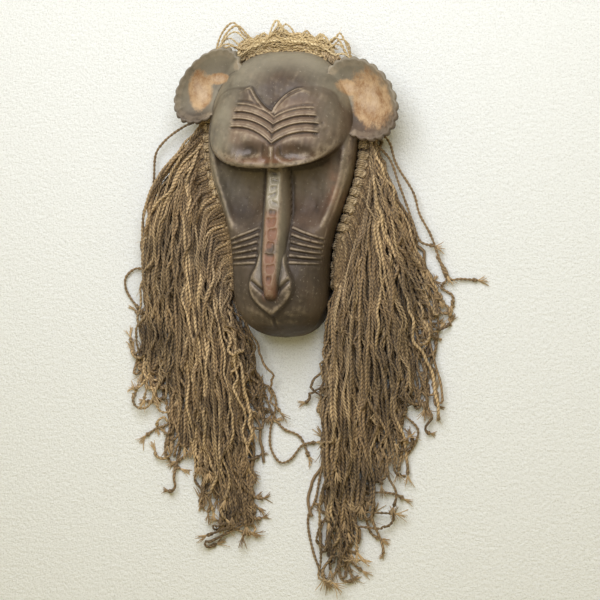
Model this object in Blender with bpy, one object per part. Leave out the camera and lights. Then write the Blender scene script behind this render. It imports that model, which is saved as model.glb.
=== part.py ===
"""A carved wooden monkey mask with a mane of twisted cords, lying on its back.

The face looks up along +Z, the top of the head points along +Y, and the flat back rim lies on Z = 0.
The form is worked out in carving units: one unit is a millimetre at the real size, x runs across the face,
y up it and z out of it, and the three face dimensions below turn units into metres.
"""

import math

import bmesh
import bpy
import numpy as np

mm = 0.001

# Driving dimensions
FACE_WIDTH = 132 * mm
FACE_HEIGHT = 256 * mm
FACE_DEPTH = 92 * mm
WALL = 9 * mm
RIM_WIDTH = 11 * mm
ROPE_RADIUS = 5 * mm
ROPE_RISE = 12.5 * mm
EAR_CLEARANCE = 3.5 * mm
EAR_THICKNESS = 7 * mm
EAR_CUP = 12 * mm
BAND_RADIUS = 3.6 * mm
LOOP_RADIUS = 2.0 * mm
LOCK_RADIUS = 8.5 * mm
LOCK_ROOT_RISE = 9 * mm
LOCK_LAYER = 6 * mm
STRAY_RADIUS = 1.8 * mm
STRAY_RISE = 2.6 * mm
GAP = 0.4 * mm
BLOCK_FOOT = 4 * mm
FLOOR_CUTTER_WIDTH = 2400 * mm
FLOOR_CUTTER_DEPTH = 50 * mm

# The same face in carving units
UNIT_WIDTH = 132.0
UNIT_HEIGHT = 256.0
UNIT_DEPTH = 92.0
SCALE = np.array([FACE_WIDTH / UNIT_WIDTH, FACE_HEIGHT / UNIT_HEIGHT, FACE_DEPTH / UNIT_DEPTH])

# Fineness of the meshes
COLUMN_COUNT = 112
ROW_COUNT = 190
CAVITY_RAYS = 36
CAVITY_RINGS = 7
MASK_TRIANGLES_KEPT = 0.086
EAR_RAYS = 46
EAR_RINGS = 9
ROPE_STATIONS = 46
BAND_STATIONS = 11
LOOP_STATIONS = 7
LOCK_STATIONS = 7
STRAY_STATIONS = 6

# Where the mesh over the face ends, how far its end rows bow out, and where its rows lie close
GRID_END_Y = 127.2
GRID_BOW = 0.8
FINE_BROW_Y = 48.0
FINE_SNOUT_Y = -48.0

# Half outline of the back rim, from the top of the head down to the chin, as (x, y)
HALF_OUTLINE = [
    (0, 128), (17, 127), (33, 121.5), (47, 110), (57, 95), (63, 78), (66, 58), (65, 36),
    (61, 14), (54, -8), (46.5, -30), (42, -50), (40.5, -70), (40, -90), (36.5, -106), (28, -118.5),
    (15, -126), (0, -128),
]
# Height of the bare head over the middle line, as (y, z)
CROWN = [
    (-128, 16), (-125, 34), (-119, 52), (-109, 66), (-95, 72), (-75, 73), (-55, 68), (-38, 59), (-20, 51),
    (0, 47), (25, 49), (50, 56), (75, 61), (93, 59), (108, 49), (120, 34), (126, 22), (128, 14),
]
# Height at which the upright side wall ends, as (y, z)
SHOULDER = [(-128, 16), (-110, 30), (-80, 42), (-40, 42), (-10, 38), (30, 38), (60, 29), (95, 20), (128, 14)]

# Brow
BROW_HALF_WIDTH = 65.0
BROW_MIDDLE_Y = 62.0
BROW_LIP_Y = 17.0
BROW_NOTCH_Y = 70.5
BROW_NOTCH_X = -2.6
BROW_LOBE_X = 32.0
BROW_LOBE_Y = 93.0
BROW_OVERHANG = 6.0
CHEVRON_MIDDLES = (64.8, 57.7, 51.0, 44.0)

# Nose and mouth
CARVING_MIDDLE_X = 2.2
NOSE_TIP_Y = -92.0
NOSE_MIDDLE_X = 0.8
SPADE_TIP_Y = -108.0
SLIT_END_Y = 127.0
NOSE_HEIGHT = [(-110, 76), (-100, 82), (-88, 87), (-60, 83), (-30, 75), (0, 67), (20, 63), (60, 60)]
# Scoops along the top of the nose, as (middle y, half length)
NOSE_CUTS = [
    (15, 3.0), (8.8, 3.0), (2.4, 3.1), (-4.2, 3.2), (-11.5, 3.5), (-19, 3.4), (-27.5, 4.4), (-38, 5.4),
    (-49, 5.0), (-59, 4.6), (-68.5, 4.6), (-77.5, 4.0),
]
# Half width of the leaf round nostrils and lips, as (y, half width)
SPADE_HALF_WIDTH = [
    (-109, 0.6), (-106, 4), (-100, 11), (-93, 17), (-84, 20), (-76, 19), (-66, 14.5), (-54, 12), (-48, 11),
]

# Rope, crest and mane
ROPE_END_Y = -86.0
CREST_REACH_X = 46.0
# Loops of the crest, as (foot x, peak x, height over the band, foot x)
CREST_LOOPS = [
    (-66, -56, 33, -33), (-43, -36, 12, -24), (-30, -20, 9, -9), (-15, -6, 12, 3),
    (5, 14, 7, 22), (16, 27, 8, 37), (32, 49, 16, 60),
]
# Locks of the mane, as (height of the root on the rope, bend x, bend y, tip x, tip y)
LEFT_LOCKS = [
    (90, -121, 0, -134, -159), (81, -114, -30, -125, -184), (72, -106, -40, -113, -202),
    (62, -97, -50, -102, -231), (50, -90, -60, -85, -246), (34, -85, -60, -79, -267), (14, -91, -70, -90, -150),
    (-4, -82, -85, -66, -291), (-22, -75, -90, -59, -296), (-40, -67, -105, -51, -301),
    (-56, -56, -122, -44, -299), (-70, -46, -133, -39, -296), (-82, -39, -128, -34, -196),
]
RIGHT_LOCKS = [
    (74, 113, -40, 143, -100), (65, 108, -60, 126, -122), (56, 101, -70, 127, -196),
    (46, 94, -75, 108, -211), (36, 87, -80, 101, -232), (24, 80, -85, 91, -254), (8, 72, -90, 77, -287),
    (-9, 64, -100, 64, -314), (-26, 57, -110, 57, -332), (-44, 49, -125, 47, -339),
    (-62, 44, -145, 37, -342), (-80, 46, -125, 36, -190),
]
# Single strands that stand off, as (lock it leaves, share of the way down it, bend x, bend y, tip x, tip y)
LEFT_STRAYS = [
    (0, 0.55, -148.8, -77, -133, -104), (1, 0.93, -120, -212, -129, -219),
    (12, 0.62, -11, -184, 19, -223), (12, 0.9, -13, -236, 12, -222),
]
RIGHT_STRAYS = [
    (0, 0.5, 150, -73, 176, -78), (2, 0.95, 122, -220, 109, -240), (5, 0.95, 98, -268, 111, -275),
    (10, 0.62, 21, -290, 39, -350),
]

# Ears: (centre x, centre y, half width, half height, lean in degrees), the lean turning the top inwards
EARS = {"left": (-66.0, 96.2, 21.8, 36.5, 38.0), "right": (72.2, 82.0, 28.0, 38.0, 36.0)}
EAR_SCALLOPS = 23
EAR_SCALLOP_DEPTH = 0.045
EAR_TILT = 0.08


def smoothstep(low, high, t):
    s = np.clip((t - low) / (high - low), 0.0, 1.0)
    return s * s * (3 - 2 * s)


def hill(t, width):
    return np.exp(-((t / width) ** 2))


def curve(knots, t):
    """A smooth curve through the knots (t, value), which rise in t."""
    at, value = np.array(knots, float).T
    slope = np.gradient(value, at)
    t = np.clip(t, at[0], at[-1])
    i = np.clip(np.searchsorted(at, t) - 1, 0, len(at) - 2)
    step = at[i + 1] - at[i]
    s = (t - at[i]) / step
    return (
        (2 * s**3 - 3 * s**2 + 1) * value[i]
        + (s**3 - 2 * s**2 + s) * step * slope[i]
        + (3 * s**2 - 2 * s**3) * value[i + 1]
        + (s**3 - s**2) * step * slope[i + 1]
    )


def smooth_path(points, count):
    """Evenly spaced points on a smooth curve through the given ones."""
    p = np.array(points, float)
    knots = np.concatenate([[0], np.cumsum(np.linalg.norm(np.diff(p, axis=0), axis=1) ** 0.5)])
    fine = np.linspace(0, knots[-1], 24 * len(p))
    line = np.column_stack([curve(list(zip(knots, p[:, k])), fine) for k in range(p.shape[1])])
    return even(line, count)


def even(line, count):
    along = np.concatenate([[0], np.cumsum(np.linalg.norm(np.diff(line, axis=0), axis=1))])
    at = np.linspace(0, along[-1], count)
    return np.column_stack([np.interp(at, along, line[:, k]) for k in range(line.shape[1])])


def face_outline(count, inset=0.0):
    """The rim's outline as a closed ring of (x, y) in metres, anticlockwise from the chin, moved inwards by inset."""
    half = np.array(HALF_OUTLINE[::-1], float) * SCALE[:2]
    whole = np.vstack([half, (half * [-1, 1])[-2:0:-1]])
    ring = smooth_path(np.vstack([whole, whole[:3]]), 16 * count)
    start = int(np.argmin(np.linalg.norm(ring[len(ring) // 2 :] - ring[0], axis=1))) + len(ring) // 2
    ring = even(ring[: start + 1], count + 1)[:-1]
    along = np.roll(ring, -1, axis=0) - np.roll(ring, 1, axis=0)
    outward = np.column_stack([along[:, 1], -along[:, 0]])
    outward /= np.linalg.norm(outward, axis=1)[:, None]
    return ring - outward * inset


def half_width(y):
    ring = face_outline(720) / SCALE[:2]
    right = ring[ring[:, 0] >= -0.01]
    order = np.argsort(right[:, 1])
    return np.maximum(np.interp(y, right[order, 1], right[order, 0]), 0.5)


def bare_head(x, y):
    """Skull, hollow cheeks and muzzle with no carving on them: what the hollow inside follows."""
    w = half_width(y)
    r = np.clip(np.abs(x) / w, 0, 1)
    crown, shoulder = curve(CROWN, y), curve(SHOULDER, y)
    squareness = 4.6 - 1.2 * smoothstep(20, 60, y) - 0.5 * smoothstep(75, 115, y) - 1.6 * smoothstep(-30, -70, y)
    z = shoulder + np.maximum(crown - shoulder, 0) * (1 - r**squareness) ** 0.5
    cheek = smoothstep(-36, -14, y) * smoothstep(60, 30, y)
    z = z - 8.5 * cheek * hill(np.abs(x) - 0.52 * w, 0.30 * w)
    return z + 4.0 * smoothstep(-38, -22, y) * smoothstep(50, 30, y) * hill(w - 5.5 - np.abs(x), 4.2)


def brow_outline(count):
    """The two-lobed brow as a closed ring of (x, y), its lower edge held back by the overhang."""
    sides = []
    for power, steep in ((2.1, 0), (2.5, 1)):
        a = BROW_HALF_WIDTH * np.sin(np.linspace(0, math.pi / 2, count))
        fall = (1 - (a / BROW_HALF_WIDTH) ** power) ** (1 / power)
        low = BROW_MIDDLE_Y - (BROW_MIDDLE_Y - BROW_LIP_Y) * fall
        low = low + BROW_OVERHANG * (1 - (a / BROW_HALF_WIDTH) ** 2)
        outer = np.clip((a - BROW_LOBE_X) / (BROW_HALF_WIDTH - BROW_LOBE_X), 0, 1)
        crest_y = BROW_MIDDLE_Y + (BROW_LOBE_Y - BROW_MIDDLE_Y) * (1 - outer**2.2) ** 0.5
        rise = 0.62 * a + 0.034 * a**2 if steep else 22.5 * (1 - (1 - np.clip(a / 38, 0, 1)) ** 2.6)
        high = np.minimum(BROW_NOTCH_Y + rise, crest_y)
        sides.append(np.vstack([np.column_stack([a, low]), np.column_stack([a, high])[-2::-1]]))
    right, left = sides
    ring = np.vstack([right, (left * [-1, 1])[-2:0:-1]])
    x, y = ring.T
    return np.column_stack([x + BROW_NOTCH_X * smoothstep(66, 74, y) * smoothstep(40, 10, np.abs(x)), y])


def depth_inside(x, y, ring):
    """Distance of each (x, y) from the ring's edge, positive inside it."""
    start, end = ring, np.roll(ring, -1, axis=0)
    run = end - start
    best = np.full(x.shape, 1e9)
    crossings = np.zeros(x.shape, int)
    for (sx, sy), (ex, ey), (rx, ry) in zip(start, end, run):
        length2 = rx * rx + ry * ry + 1e-12
        t = np.clip(((x - sx) * rx + (y - sy) * ry) / length2, 0, 1)
        best = np.minimum(best, np.hypot(x - sx - t * rx, y - sy - t * ry))
        if sy != ey:
            spans = (sy > y) != (ey > y)
            crossings += spans & (x < sx + (y - sy) * rx / ry)
    return np.where(crossings % 2 == 1, best, -best)


def brow(x, y, inside):
    """The brow's front face, rounded over at its edge and softly so at the outside of its top."""
    a = np.abs(x)
    front = 65.5 + 18.5 * smoothstep(92, 34, y) - 29 * (a / BROW_HALF_WIDTH) ** 3
    front = front - 2.5 * hill(x, 9) * smoothstep(48, 62, y)
    lip = smoothstep(62, 38, y)
    radius = 4 + 7 * lip + 4 * smoothstep(40, 60, a) + 8 * (1 - lip) * smoothstep(18, 36, a)
    left = np.clip(radius - np.maximum(inside, 0), 0, radius)
    edge = smoothstep(30, 20, a) * smoothstep(62, 70, y)
    line = 1.0 * hill(inside - 1.2, 0.75) - 1.1 * hill(inside - 3.2, 0.9)
    return front - (radius - np.sqrt(radius**2 - left**2)) + edge * line


def chevron_rise(x):
    """How far a brow line has risen at x: the lines climb higher on the left than on the right."""
    x = x - CARVING_MIDDLE_X
    a = np.abs(x)
    left = 12.6 * (1 - (1 - np.clip(a / 34, 0, 1)) ** 2)
    right = 8.0 * (1 - (1 - np.clip(a / 29, 0, 1)) ** 2) - 0.008 * np.maximum(a - 29, 0) ** 2
    return np.where(x < 0, left, right)


def chevrons(x, y):
    """Depth of the brow lines, cut like overlapping shingles and rising from the middle to either side."""
    v = y - chevron_rise(x)
    depth = np.zeros_like(x)
    for i, middle in enumerate(CHEVRON_MIDDLES):
        reach = np.where(x < 0, 33.5 + 1.2 * i, 37 + 2.4 * min(i, 2))
        fade = smoothstep(reach + 1.2, reach - 2.5, np.abs(x))
        over = v - middle
        if i == 0:
            depth += fade * (0.7 * hill(over + 1.5, 0.8) - 1.1 * hill(over, 0.75) + 0.9 * hill(over - 2.2, 1.3))
            continue
        above = smoothstep(6.2, 0.4, over) * smoothstep(-0.5, 0.5, over)
        below = smoothstep(0.5, -0.4, over) * smoothstep(-4.5, -0.4, over)
        depth += fade * (1.7 * below - 1.2 * above + 0.5 * hill(over - 1.9, 0.5))
    return depth


def brow_modelling(x, y):
    """Closed eyes below the lines: a hollow each side of a short ridge, over a full lower lip of wood."""
    x = x - CARVING_MIDDLE_X
    left, right = smoothstep(2, -2, x), smoothstep(-2, 2, x)
    hollow = left * hill(x + 19, 13) * hill(y - 39.5, 6.6) + right * hill(x - 21, 18) * hill(y - 36.5, 6.6)
    side_in = smoothstep(3.0, 8, np.abs(x))
    swell_y = np.where(x < 0, 27.0 - 0.12 * (x + 5), 27.0 + 8.0 * hill(x, 8) + 0.004 * (x - 22) ** 2)
    swell = hill(y - swell_y, 3.8) * hill(np.abs(x) - 20, 18) * side_in
    ridge = 2.4 * hill(x, 1.9) * smoothstep(17, 22, y) * smoothstep(46, 41, y)
    return ridge - 5.4 * hollow * side_in + 3.4 * swell


def nose(x, y):
    """The long ridge: a flat band on top, scooped out in steps, with sloping sides."""
    a = np.abs(x - NOSE_MIDDLE_X)
    band = 1.6 + 3.6 * smoothstep(NOSE_TIP_Y - 2, NOSE_TIP_Y + 30, y) - 0.6 * smoothstep(-30, 10, y)
    top = curve(NOSE_HEIGHT, y) - 0.02 * a**2
    side = np.maximum(a - band, 0)
    ridge = top - 0.5 * side - 0.33 * side**2 - 60 * smoothstep(NOSE_TIP_Y + 2, NOSE_TIP_Y - 20, y)
    cut = np.zeros_like(ridge)
    for i, (middle, half) in enumerate(NOSE_CUTS):
        reach = band * (0.94 - 0.08 * (i % 3))
        off = x - NOSE_MIDDLE_X - 0.5 * ((i * 2) % 3 - 1)
        bowl = 1 - ((y - middle - 0.07 * off**2) / half) ** 2 - (off / reach) ** 4
        cut = np.maximum(cut, np.sqrt(np.maximum(bowl, 0)) * (1.6 if middle > -20 else 1.3))
    return ridge - cut


def muzzle_ribs(x, y):
    """Six ribs across each side of the snout, sloping down and outwards."""
    a = np.abs(x)
    down = (-31 - 0.42 * np.maximum(a - 16, 0) * smoothstep(-70, -32, y) - y) / 6.2
    window = smoothstep(-0.5, 0.1, down) * smoothstep(5.6, 5.1, down)
    window = window * smoothstep(13, 15.5, a) * smoothstep(2.0, 4.5, half_width(y) - a)
    return window * (1.5 * np.cos(2 * math.pi * down) - 0.3)


def spade(x, y):
    """Nostril wings and lips: a raised leaf that ends in a point, with a crease between nose and lips."""
    a = np.abs(x)
    edge = curve(SPADE_HALF_WIDTH, y) - a
    edge = np.where((y > -47) | (y < SPADE_TIP_Y), -5, edge)
    raised = 5.2 * smoothstep(-1.2, 2.2, edge) * smoothstep(-47, -60, y)
    along = (a * 19 + (y + 93) * 17) / (19**2 + 17**2)
    off = (a * 17 - (y + 93) * 19) / math.hypot(19, 17)
    crease = 2.6 * hill(off, 1.8) * smoothstep(-0.02, 0.1, along) * smoothstep(1.05, 0.8, along)
    wing = 2.2 * hill(a - 14, 5) * hill(y + 79, 9)
    return raised - crease + wing


def face_height(x, y):
    """Height of the carved face over the back rim, all in carving units."""
    z = bare_head(x, y)
    z = z + spade(x, y) * smoothstep(-44, -52, y) + muzzle_ribs(x, y)
    valley = 0.9 * hill(np.abs(x) - 14.0, 1.3) * smoothstep(-66, -58, y) * smoothstep(-24, -32, y)
    z = z - valley
    slit = smoothstep(SPADE_TIP_Y + 2, SPADE_TIP_Y - 2, y) * smoothstep(-SLIT_END_Y, 2 - SLIT_END_Y, y)
    z = z - 2.2 * hill(x, 1.5) * slit
    bridge = nose(x, y)
    soft = 1.5 + 5 * smoothstep(-34, -20, y)
    joined = 0.5 * (z + bridge + np.sqrt((z - bridge) ** 2 + soft**2) - soft * hill(z - bridge, 3))
    z = np.where(y < 40, joined, z)
    inside = depth_inside(x, y, brow_outline(48))
    full = brow(x, y, inside) - chevrons(x, y) + brow_modelling(x, y)
    lip = smoothstep(62, 38, y)
    edge = 1.2 + 1.6 * lip + 7 * (1 - lip) * smoothstep(18, 38, np.abs(x))
    share = smoothstep(-0.6, edge, inside)
    return z + share * np.maximum(full - z, 0)


def face_point(x, y):
    """The carved surface at (x, y), as points in metres: the brow's lip leans out over the cheeks."""
    z = face_height(x, y)
    inside = depth_inside(x, y, brow_outline(48))
    lip = smoothstep(0.2, 2.6, inside) * smoothstep(60, 30, y) * (1 - (np.abs(x) / BROW_HALF_WIDTH) ** 4).clip(0)
    return np.stack([x, y - BROW_OVERHANG * lip, z], axis=-1) * SCALE


def new_object(name, points, faces):
    mesh = bpy.data.meshes.new(name)
    mesh.from_pydata([tuple(p) for p in points], [], faces)
    mesh.validate()
    obj = bpy.data.objects.new(name, mesh)
    bpy.context.scene.collection.objects.link(obj)
    return obj


def ringed_solid(name, rings):
    """A closed mesh through equal rings of points, each end closed by a fan round its middle."""
    count = len(rings[0])
    points = [p for ring in rings for p in ring]
    faces = []
    for k in range(len(rings) - 1):
        low, high = k * count, (k + 1) * count
        for i in range(count):
            j = (i + 1) % count
            faces.append((low + i, low + j, high + j, high + i))
    for start in (0, (len(rings) - 1) * count):
        middle = len(points)
        points.append(np.mean(points[start : start + count], axis=0))
        for i in range(count):
            faces.append((start + i, start + (i + 1) % count, middle))
    obj = new_object(name, points, faces)
    facing_out(obj)
    return obj


def facing_out(obj):
    made = bmesh.new()
    made.from_mesh(obj.data)
    bmesh.ops.recalc_face_normals(made, faces=made.faces)
    made.to_mesh(obj.data)
    made.free()


def carving_rows(count):
    """Heights of the mesh rows, closer together where the carving is fine and at both ends."""
    y = np.linspace(-GRID_END_Y, GRID_END_Y, 2000)
    at_end = smoothstep(GRID_END_Y - 17, GRID_END_Y - 1, np.abs(y))
    fine = 1 + 1.3 * hill(y - FINE_BROW_Y, 28) ** 2 + 1.3 * hill(y - FINE_SNOUT_Y, 20) ** 2 + 1.5 * at_end
    total = np.cumsum(fine)
    return np.interp(np.linspace(total[0], total[-1], count), total, y)


def carving_grid(columns, rows):
    """(x, y) of a mesh over the face, its rows bent to run along the brow lines and the ribs of the muzzle."""
    y0 = carving_rows(rows)[:, None]
    s = np.linspace(-1, 1, columns)[None, :]
    share = 0.6 * s + 0.4 * np.sin(s * math.pi / 2)
    a = np.abs(share) * half_width(y0)
    brow_bend = smoothstep(20, 42, y0) * smoothstep(100, 68, y0) * smoothstep(66, 40, a)
    y = y0 + brow_bend * chevron_rise(share * half_width(y0))
    y = y - 0.42 * np.maximum(a - 16, 0) * smoothstep(-74, -36, y0) * smoothstep(-8, -28, y0)
    y = y + np.sign(y0) * GRID_BOW * smoothstep(GRID_END_Y - 5, GRID_END_Y, np.abs(y0)) * (1 - s**2)
    return share * half_width(y), y


def head_solid():
    """The carved face on a solid block, with its side walls running a little below the floor."""
    x, y = carving_grid(COLUMN_COUNT, ROW_COUNT)
    top = face_point(x, y)
    rows, columns = x.shape
    points = list(top.reshape(-1, 3))
    faces = []
    for j in range(rows - 1):
        for i in range(columns - 1):
            k = j * columns + i
            faces.append((k, k + 1, k + columns + 1, k + columns))
    border = [i for i in range(columns)]
    border += [j * columns + columns - 1 for j in range(1, rows)]
    border += [(rows - 1) * columns + i for i in range(columns - 2, -1, -1)]
    border += [j * columns for j in range(rows - 2, 0, -1)]
    foot = len(points)
    points += [(*points[k][:2], -BLOCK_FOOT) for k in border]
    points.append((0, 0, -BLOCK_FOOT))
    for i, k in enumerate(border):
        following = (i + 1) % len(border)
        faces.append((foot + i, foot + following, border[following], k))
        faces.append((foot + following, foot + i, len(points) - 1))
    head = new_object("mask", points, faces)
    facing_out(head)
    return head


def cavity():
    """The hollow behind the face, a wall's thickness inside it."""
    ring = face_outline(CAVITY_RAYS, RIM_WIDTH)
    middle = np.array([0.0, -6.0 * mm])
    rings = [np.column_stack([ring, np.full(len(ring), -6 * mm)])]
    for t in np.linspace(1, 0, CAVITY_RINGS, endpoint=False):
        share = math.sin(t * math.pi / 2)
        flat = middle + share * (ring - middle)
        y = flat[:, 1] / SCALE[1]
        crown = curve(CROWN, y) - 9 * smoothstep(-45, -20, y) * smoothstep(65, 40, y)
        height = crown * SCALE[2] - WALL
        rings.append(np.column_stack([flat, height * (1 - share**4) ** 0.5 + 8 * mm * share**4]))
    return ringed_solid("cavity_cutter", rings)


def ear(side):
    """A cupped ear with a scalloped edge, as a closed dish that clears the rope behind it."""
    cx, cy, half_w, half_h, lean = EARS[side]
    outward = -1 if side == "left" else 1
    angle = np.linspace(0, 2 * math.pi, EAR_RAYS, endpoint=False)
    scallop = 1 + EAR_SCALLOP_DEPTH * np.abs(np.sin(angle * EAR_SCALLOPS / 2))
    turn = math.radians(lean) * outward
    lift = ROPE_RISE + ROPE_RADIUS + EAR_CLEARANCE + EAR_TILT * half_w * SCALE[0]

    def ring(share, rise):
        u = half_w * share * scallop**(share**8) * np.cos(angle)
        v = half_h * share * scallop**(share**8) * np.sin(angle)
        x = u * math.cos(turn) - v * math.sin(turn)
        y = u * math.sin(turn) + v * math.cos(turn)
        z = lift + rise + EAR_TILT * outward * x * SCALE[0]
        return np.column_stack([(cx + x) * SCALE[0], (cy + y) * SCALE[1], z])

    def cup(share):
        return EAR_CUP * share**2.4

    shares = np.linspace(0, 1, EAR_RINGS + 1)[1:]
    behind = [ring(s, 0.8 * cup(s)) for s in shares]
    edge = [ring(1.03, 0.8 * cup(1) + 0.5 * EAR_THICKNESS)]
    front = [ring(s, EAR_THICKNESS + cup(s)) for s in shares[::-1]]
    return ringed_solid(f"ear_{side}_form", behind + edge + front)


def tube(name, path, radii, sides, flat=1.0, phase=0.0):
    """A closed tube along the path, its radius given at each point; flat squashes it in z."""
    path = np.array(path, float)
    along = np.gradient(path, axis=0)
    along /= np.linalg.norm(along, axis=1)[:, None]
    up = np.array([0.0, 0.0, 1.0])
    rings = []
    turn = phase + np.linspace(0, 2 * math.pi, sides, endpoint=False)
    for p, d, r in zip(path, along, np.broadcast_to(radii, len(path))):
        across = np.cross(d, up)
        across /= max(np.linalg.norm(across), 1e-9)
        rise = np.cross(across, d)
        rings.append(p + r * (np.outer(np.cos(turn), across) + flat * np.outer(np.sin(turn), rise)))
    return ringed_solid(name, rings)


def floor_cutter():
    half = FLOOR_CUTTER_WIDTH / 2
    sides = ((-half, -half), (half, -half), (half, half), (-half, half))
    corners = [(x, y, z) for z in (-FLOOR_CUTTER_DEPTH, 0) for x, y in sides]
    faces = [(3, 2, 1, 0), (4, 5, 6, 7), (0, 1, 5, 4), (1, 2, 6, 5), (2, 3, 7, 6), (3, 0, 4, 7)]
    return helper(new_object("floor_cutter", corners, faces))


def helper(obj):
    obj.hide_render = True
    obj.display_type = "WIRE"
    return obj


def helpers(name, objects):
    group = bpy.data.collections.new(name)
    bpy.context.scene.collection.children.link(group)
    for obj in objects:
        for home in list(obj.users_collection):
            home.objects.unlink(obj)
        group.objects.link(helper(obj))
    return group


def boolean(obj, operation, other):
    change = obj.modifiers.new(operation.lower(), "BOOLEAN")
    change.operation = operation
    change.solver = "EXACT"
    if isinstance(other, bpy.types.Collection):
        change.operand_type = "COLLECTION"
        change.collection = other
    else:
        change.object = other
    return obj


def paint(obj, name, colour, roughness):
    material = bpy.data.materials.get(name) or bpy.data.materials.new(name)
    material.use_nodes = True
    shader = material.node_tree.nodes["Principled BSDF"]
    shader.inputs["Base Color"].default_value = (*colour, 1)
    shader.inputs["Roughness"].default_value = roughness
    obj.data.materials.clear()
    obj.data.materials.append(material)


def mask(floor):
    """Face and ears, cut from one piece of wood and hollowed from behind."""
    head = head_solid()
    boolean(head, "UNION", helpers("ear_forms", [ear("left"), ear("right")]))
    fewer = head.modifiers.new("fewer", "DECIMATE")
    fewer.ratio = MASK_TRIANGLES_KEPT
    boolean(head, "DIFFERENCE", helper(cavity()))
    boolean(head, "DIFFERENCE", floor)
    paint(head, "dark_wood", (0.075, 0.055, 0.042), 0.42)
    return head


def beside_outline(offset, kept, count):
    """Points on a line the given distance outside the face's outline, from the chin's right round to its left."""
    ring = face_outline(720, -offset)
    units = ring / SCALE[:2]
    return even(ring[kept(units[:, 0], units[:, 1])], count)


def rim_rope():
    """The cord bound round the rim, open under the chin."""
    line = beside_outline(ROPE_RADIUS + GAP, lambda x, y: y > ROPE_END_Y, ROPE_STATIONS)
    path = np.column_stack([line, np.full(ROPE_STATIONS, ROPE_RISE)])
    from_end = np.minimum(np.arange(ROPE_STATIONS), np.arange(ROPE_STATIONS)[::-1])
    rope = tube("rim_rope", path, ROPE_RADIUS * np.clip(0.55 + from_end / 2, 0, 1), 6)
    paint(rope, "brown_cord", (0.25, 0.17, 0.09), 0.9)
    return rope


def crest():
    """A band of raffia over the top of the rope, drawn up in loops."""
    offset = 2 * (ROPE_RADIUS + GAP) + BAND_RADIUS
    line = beside_outline(offset, lambda x, y: (y > 60) & (np.abs(x) < CREST_REACH_X), BAND_STATIONS)
    path = np.column_stack([line, np.full(BAND_STATIONS, ROPE_RISE)])
    band = tube("crest", path, BAND_RADIUS, 6)
    foot = beside_outline(offset, lambda x, y: y > 70, 200)[::-1] / SCALE[:2]
    rise = ROPE_RISE / SCALE[2]
    loops = []
    for i, (x1, x2, height, x3) in enumerate(CREST_LOOPS):
        y1, y2, y3 = np.interp([x1, x2, x3], foot[:, 0], foot[:, 1])
        y2 = y2 + height
        lean = (x3 - x1) * 0.22
        side_y = y2 - 0.3 * height
        over = [(x2 - lean, side_y, rise + 2), (x2, y2, rise + 3), (x2 + lean, side_y, rise + 2)]
        route = smooth_path([(x1, y1, rise), *over, (x3, y3, rise)], LOOP_STATIONS)
        loops.append(tube(f"crest_loop_{i + 1}", route * SCALE, LOOP_RADIUS, 5))
    boolean(band, "UNION", helpers("crest_loops", loops))
    paint(band, "raffia", (0.42, 0.29, 0.13), 0.9)
    return band


def lock_plan(side, root_y, bend_x, bend_y, tip_x, tip_y, count):
    """Plan of one lock: it leaves the rope sideways, turns down and runs to its tip."""
    root_x = side * (half_width(np.array([root_y]))[0] + 2 * (ROPE_RADIUS + GAP) / SCALE[0] + 4)
    out = (root_x + side * (3 + 10 * smoothstep(-85, 30, root_y)), root_y - 9)
    low = (0.4 * bend_x + 0.6 * tip_x, 0.4 * bend_y + 0.6 * tip_y)
    return smooth_path([(root_x, root_y), out, (bend_x, bend_y), low, (tip_x, tip_y)], count) * SCALE[:2]


def lock_line(side, number, row, count):
    """Middle line of one lock: it climbs over its neighbours and comes down to the floor at its tip."""
    t = np.linspace(0, 1, count)
    layer = 0.5 + number * 5 % 3
    raised = layer * LOCK_LAYER * smoothstep(0.12, 0.4, t) * smoothstep(1.0, 0.6, t)
    fallen = (LOCK_ROOT_RISE - 0.28 * LOCK_RADIUS) * smoothstep(0.6, 1, t)
    return np.column_stack([lock_plan(side, *row, count), LOCK_ROOT_RISE + raised - fallen])


def mane(side, floor):
    """The fringe of cords that hangs from one side of the rope, as overlapping locks and a few single strands."""
    name = "mane_left" if side < 0 else "mane_right"
    locks, strays = (LEFT_LOCKS, LEFT_STRAYS) if side < 0 else (RIGHT_LOCKS, RIGHT_STRAYS)
    t = np.linspace(0, 1, LOCK_STATIONS)
    radius = LOCK_RADIUS * (0.55 + 0.45 * smoothstep(0, 0.3, t)) * (1 - 0.72 * smoothstep(0.55, 1, t))
    forms = []
    for i, row in enumerate(locks):
        line = lock_line(side, i, row, LOCK_STATIONS)
        forms.append(tube(f"{name}_lock_{i + 1}", line, radius, 6, 0.85, 0.3))
    for i, (number, share, x2, y2, x3, y3) in enumerate(strays):
        start = lock_line(side, number, locks[number], 101)[round(share * 100)]
        route = [start / SCALE, (x2, y2, STRAY_RISE / SCALE[2]), (x3, y3, STRAY_RISE / SCALE[2])]
        route = smooth_path(route, STRAY_STATIONS) * SCALE
        forms.append(tube(f"{name}_stray_{i + 1}", route, STRAY_RADIUS, 5))
    body = forms[0]
    body.name = name
    boolean(body, "UNION", helpers(f"{name}_locks", forms[1:]))
    ring = face_outline(72, -(2 * ROPE_RADIUS + 2 * GAP))
    clear = [np.column_stack([ring, np.full(len(ring), z)]) for z in (-8 * mm, 60 * mm)]
    clear = ringed_solid(f"{name}_clearance", clear)
    boolean(body, "DIFFERENCE", helper(clear))
    boolean(body, "DIFFERENCE", floor)
    paint(body, "twisted_cord", (0.16, 0.11, 0.065), 0.95)
    return body


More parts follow.
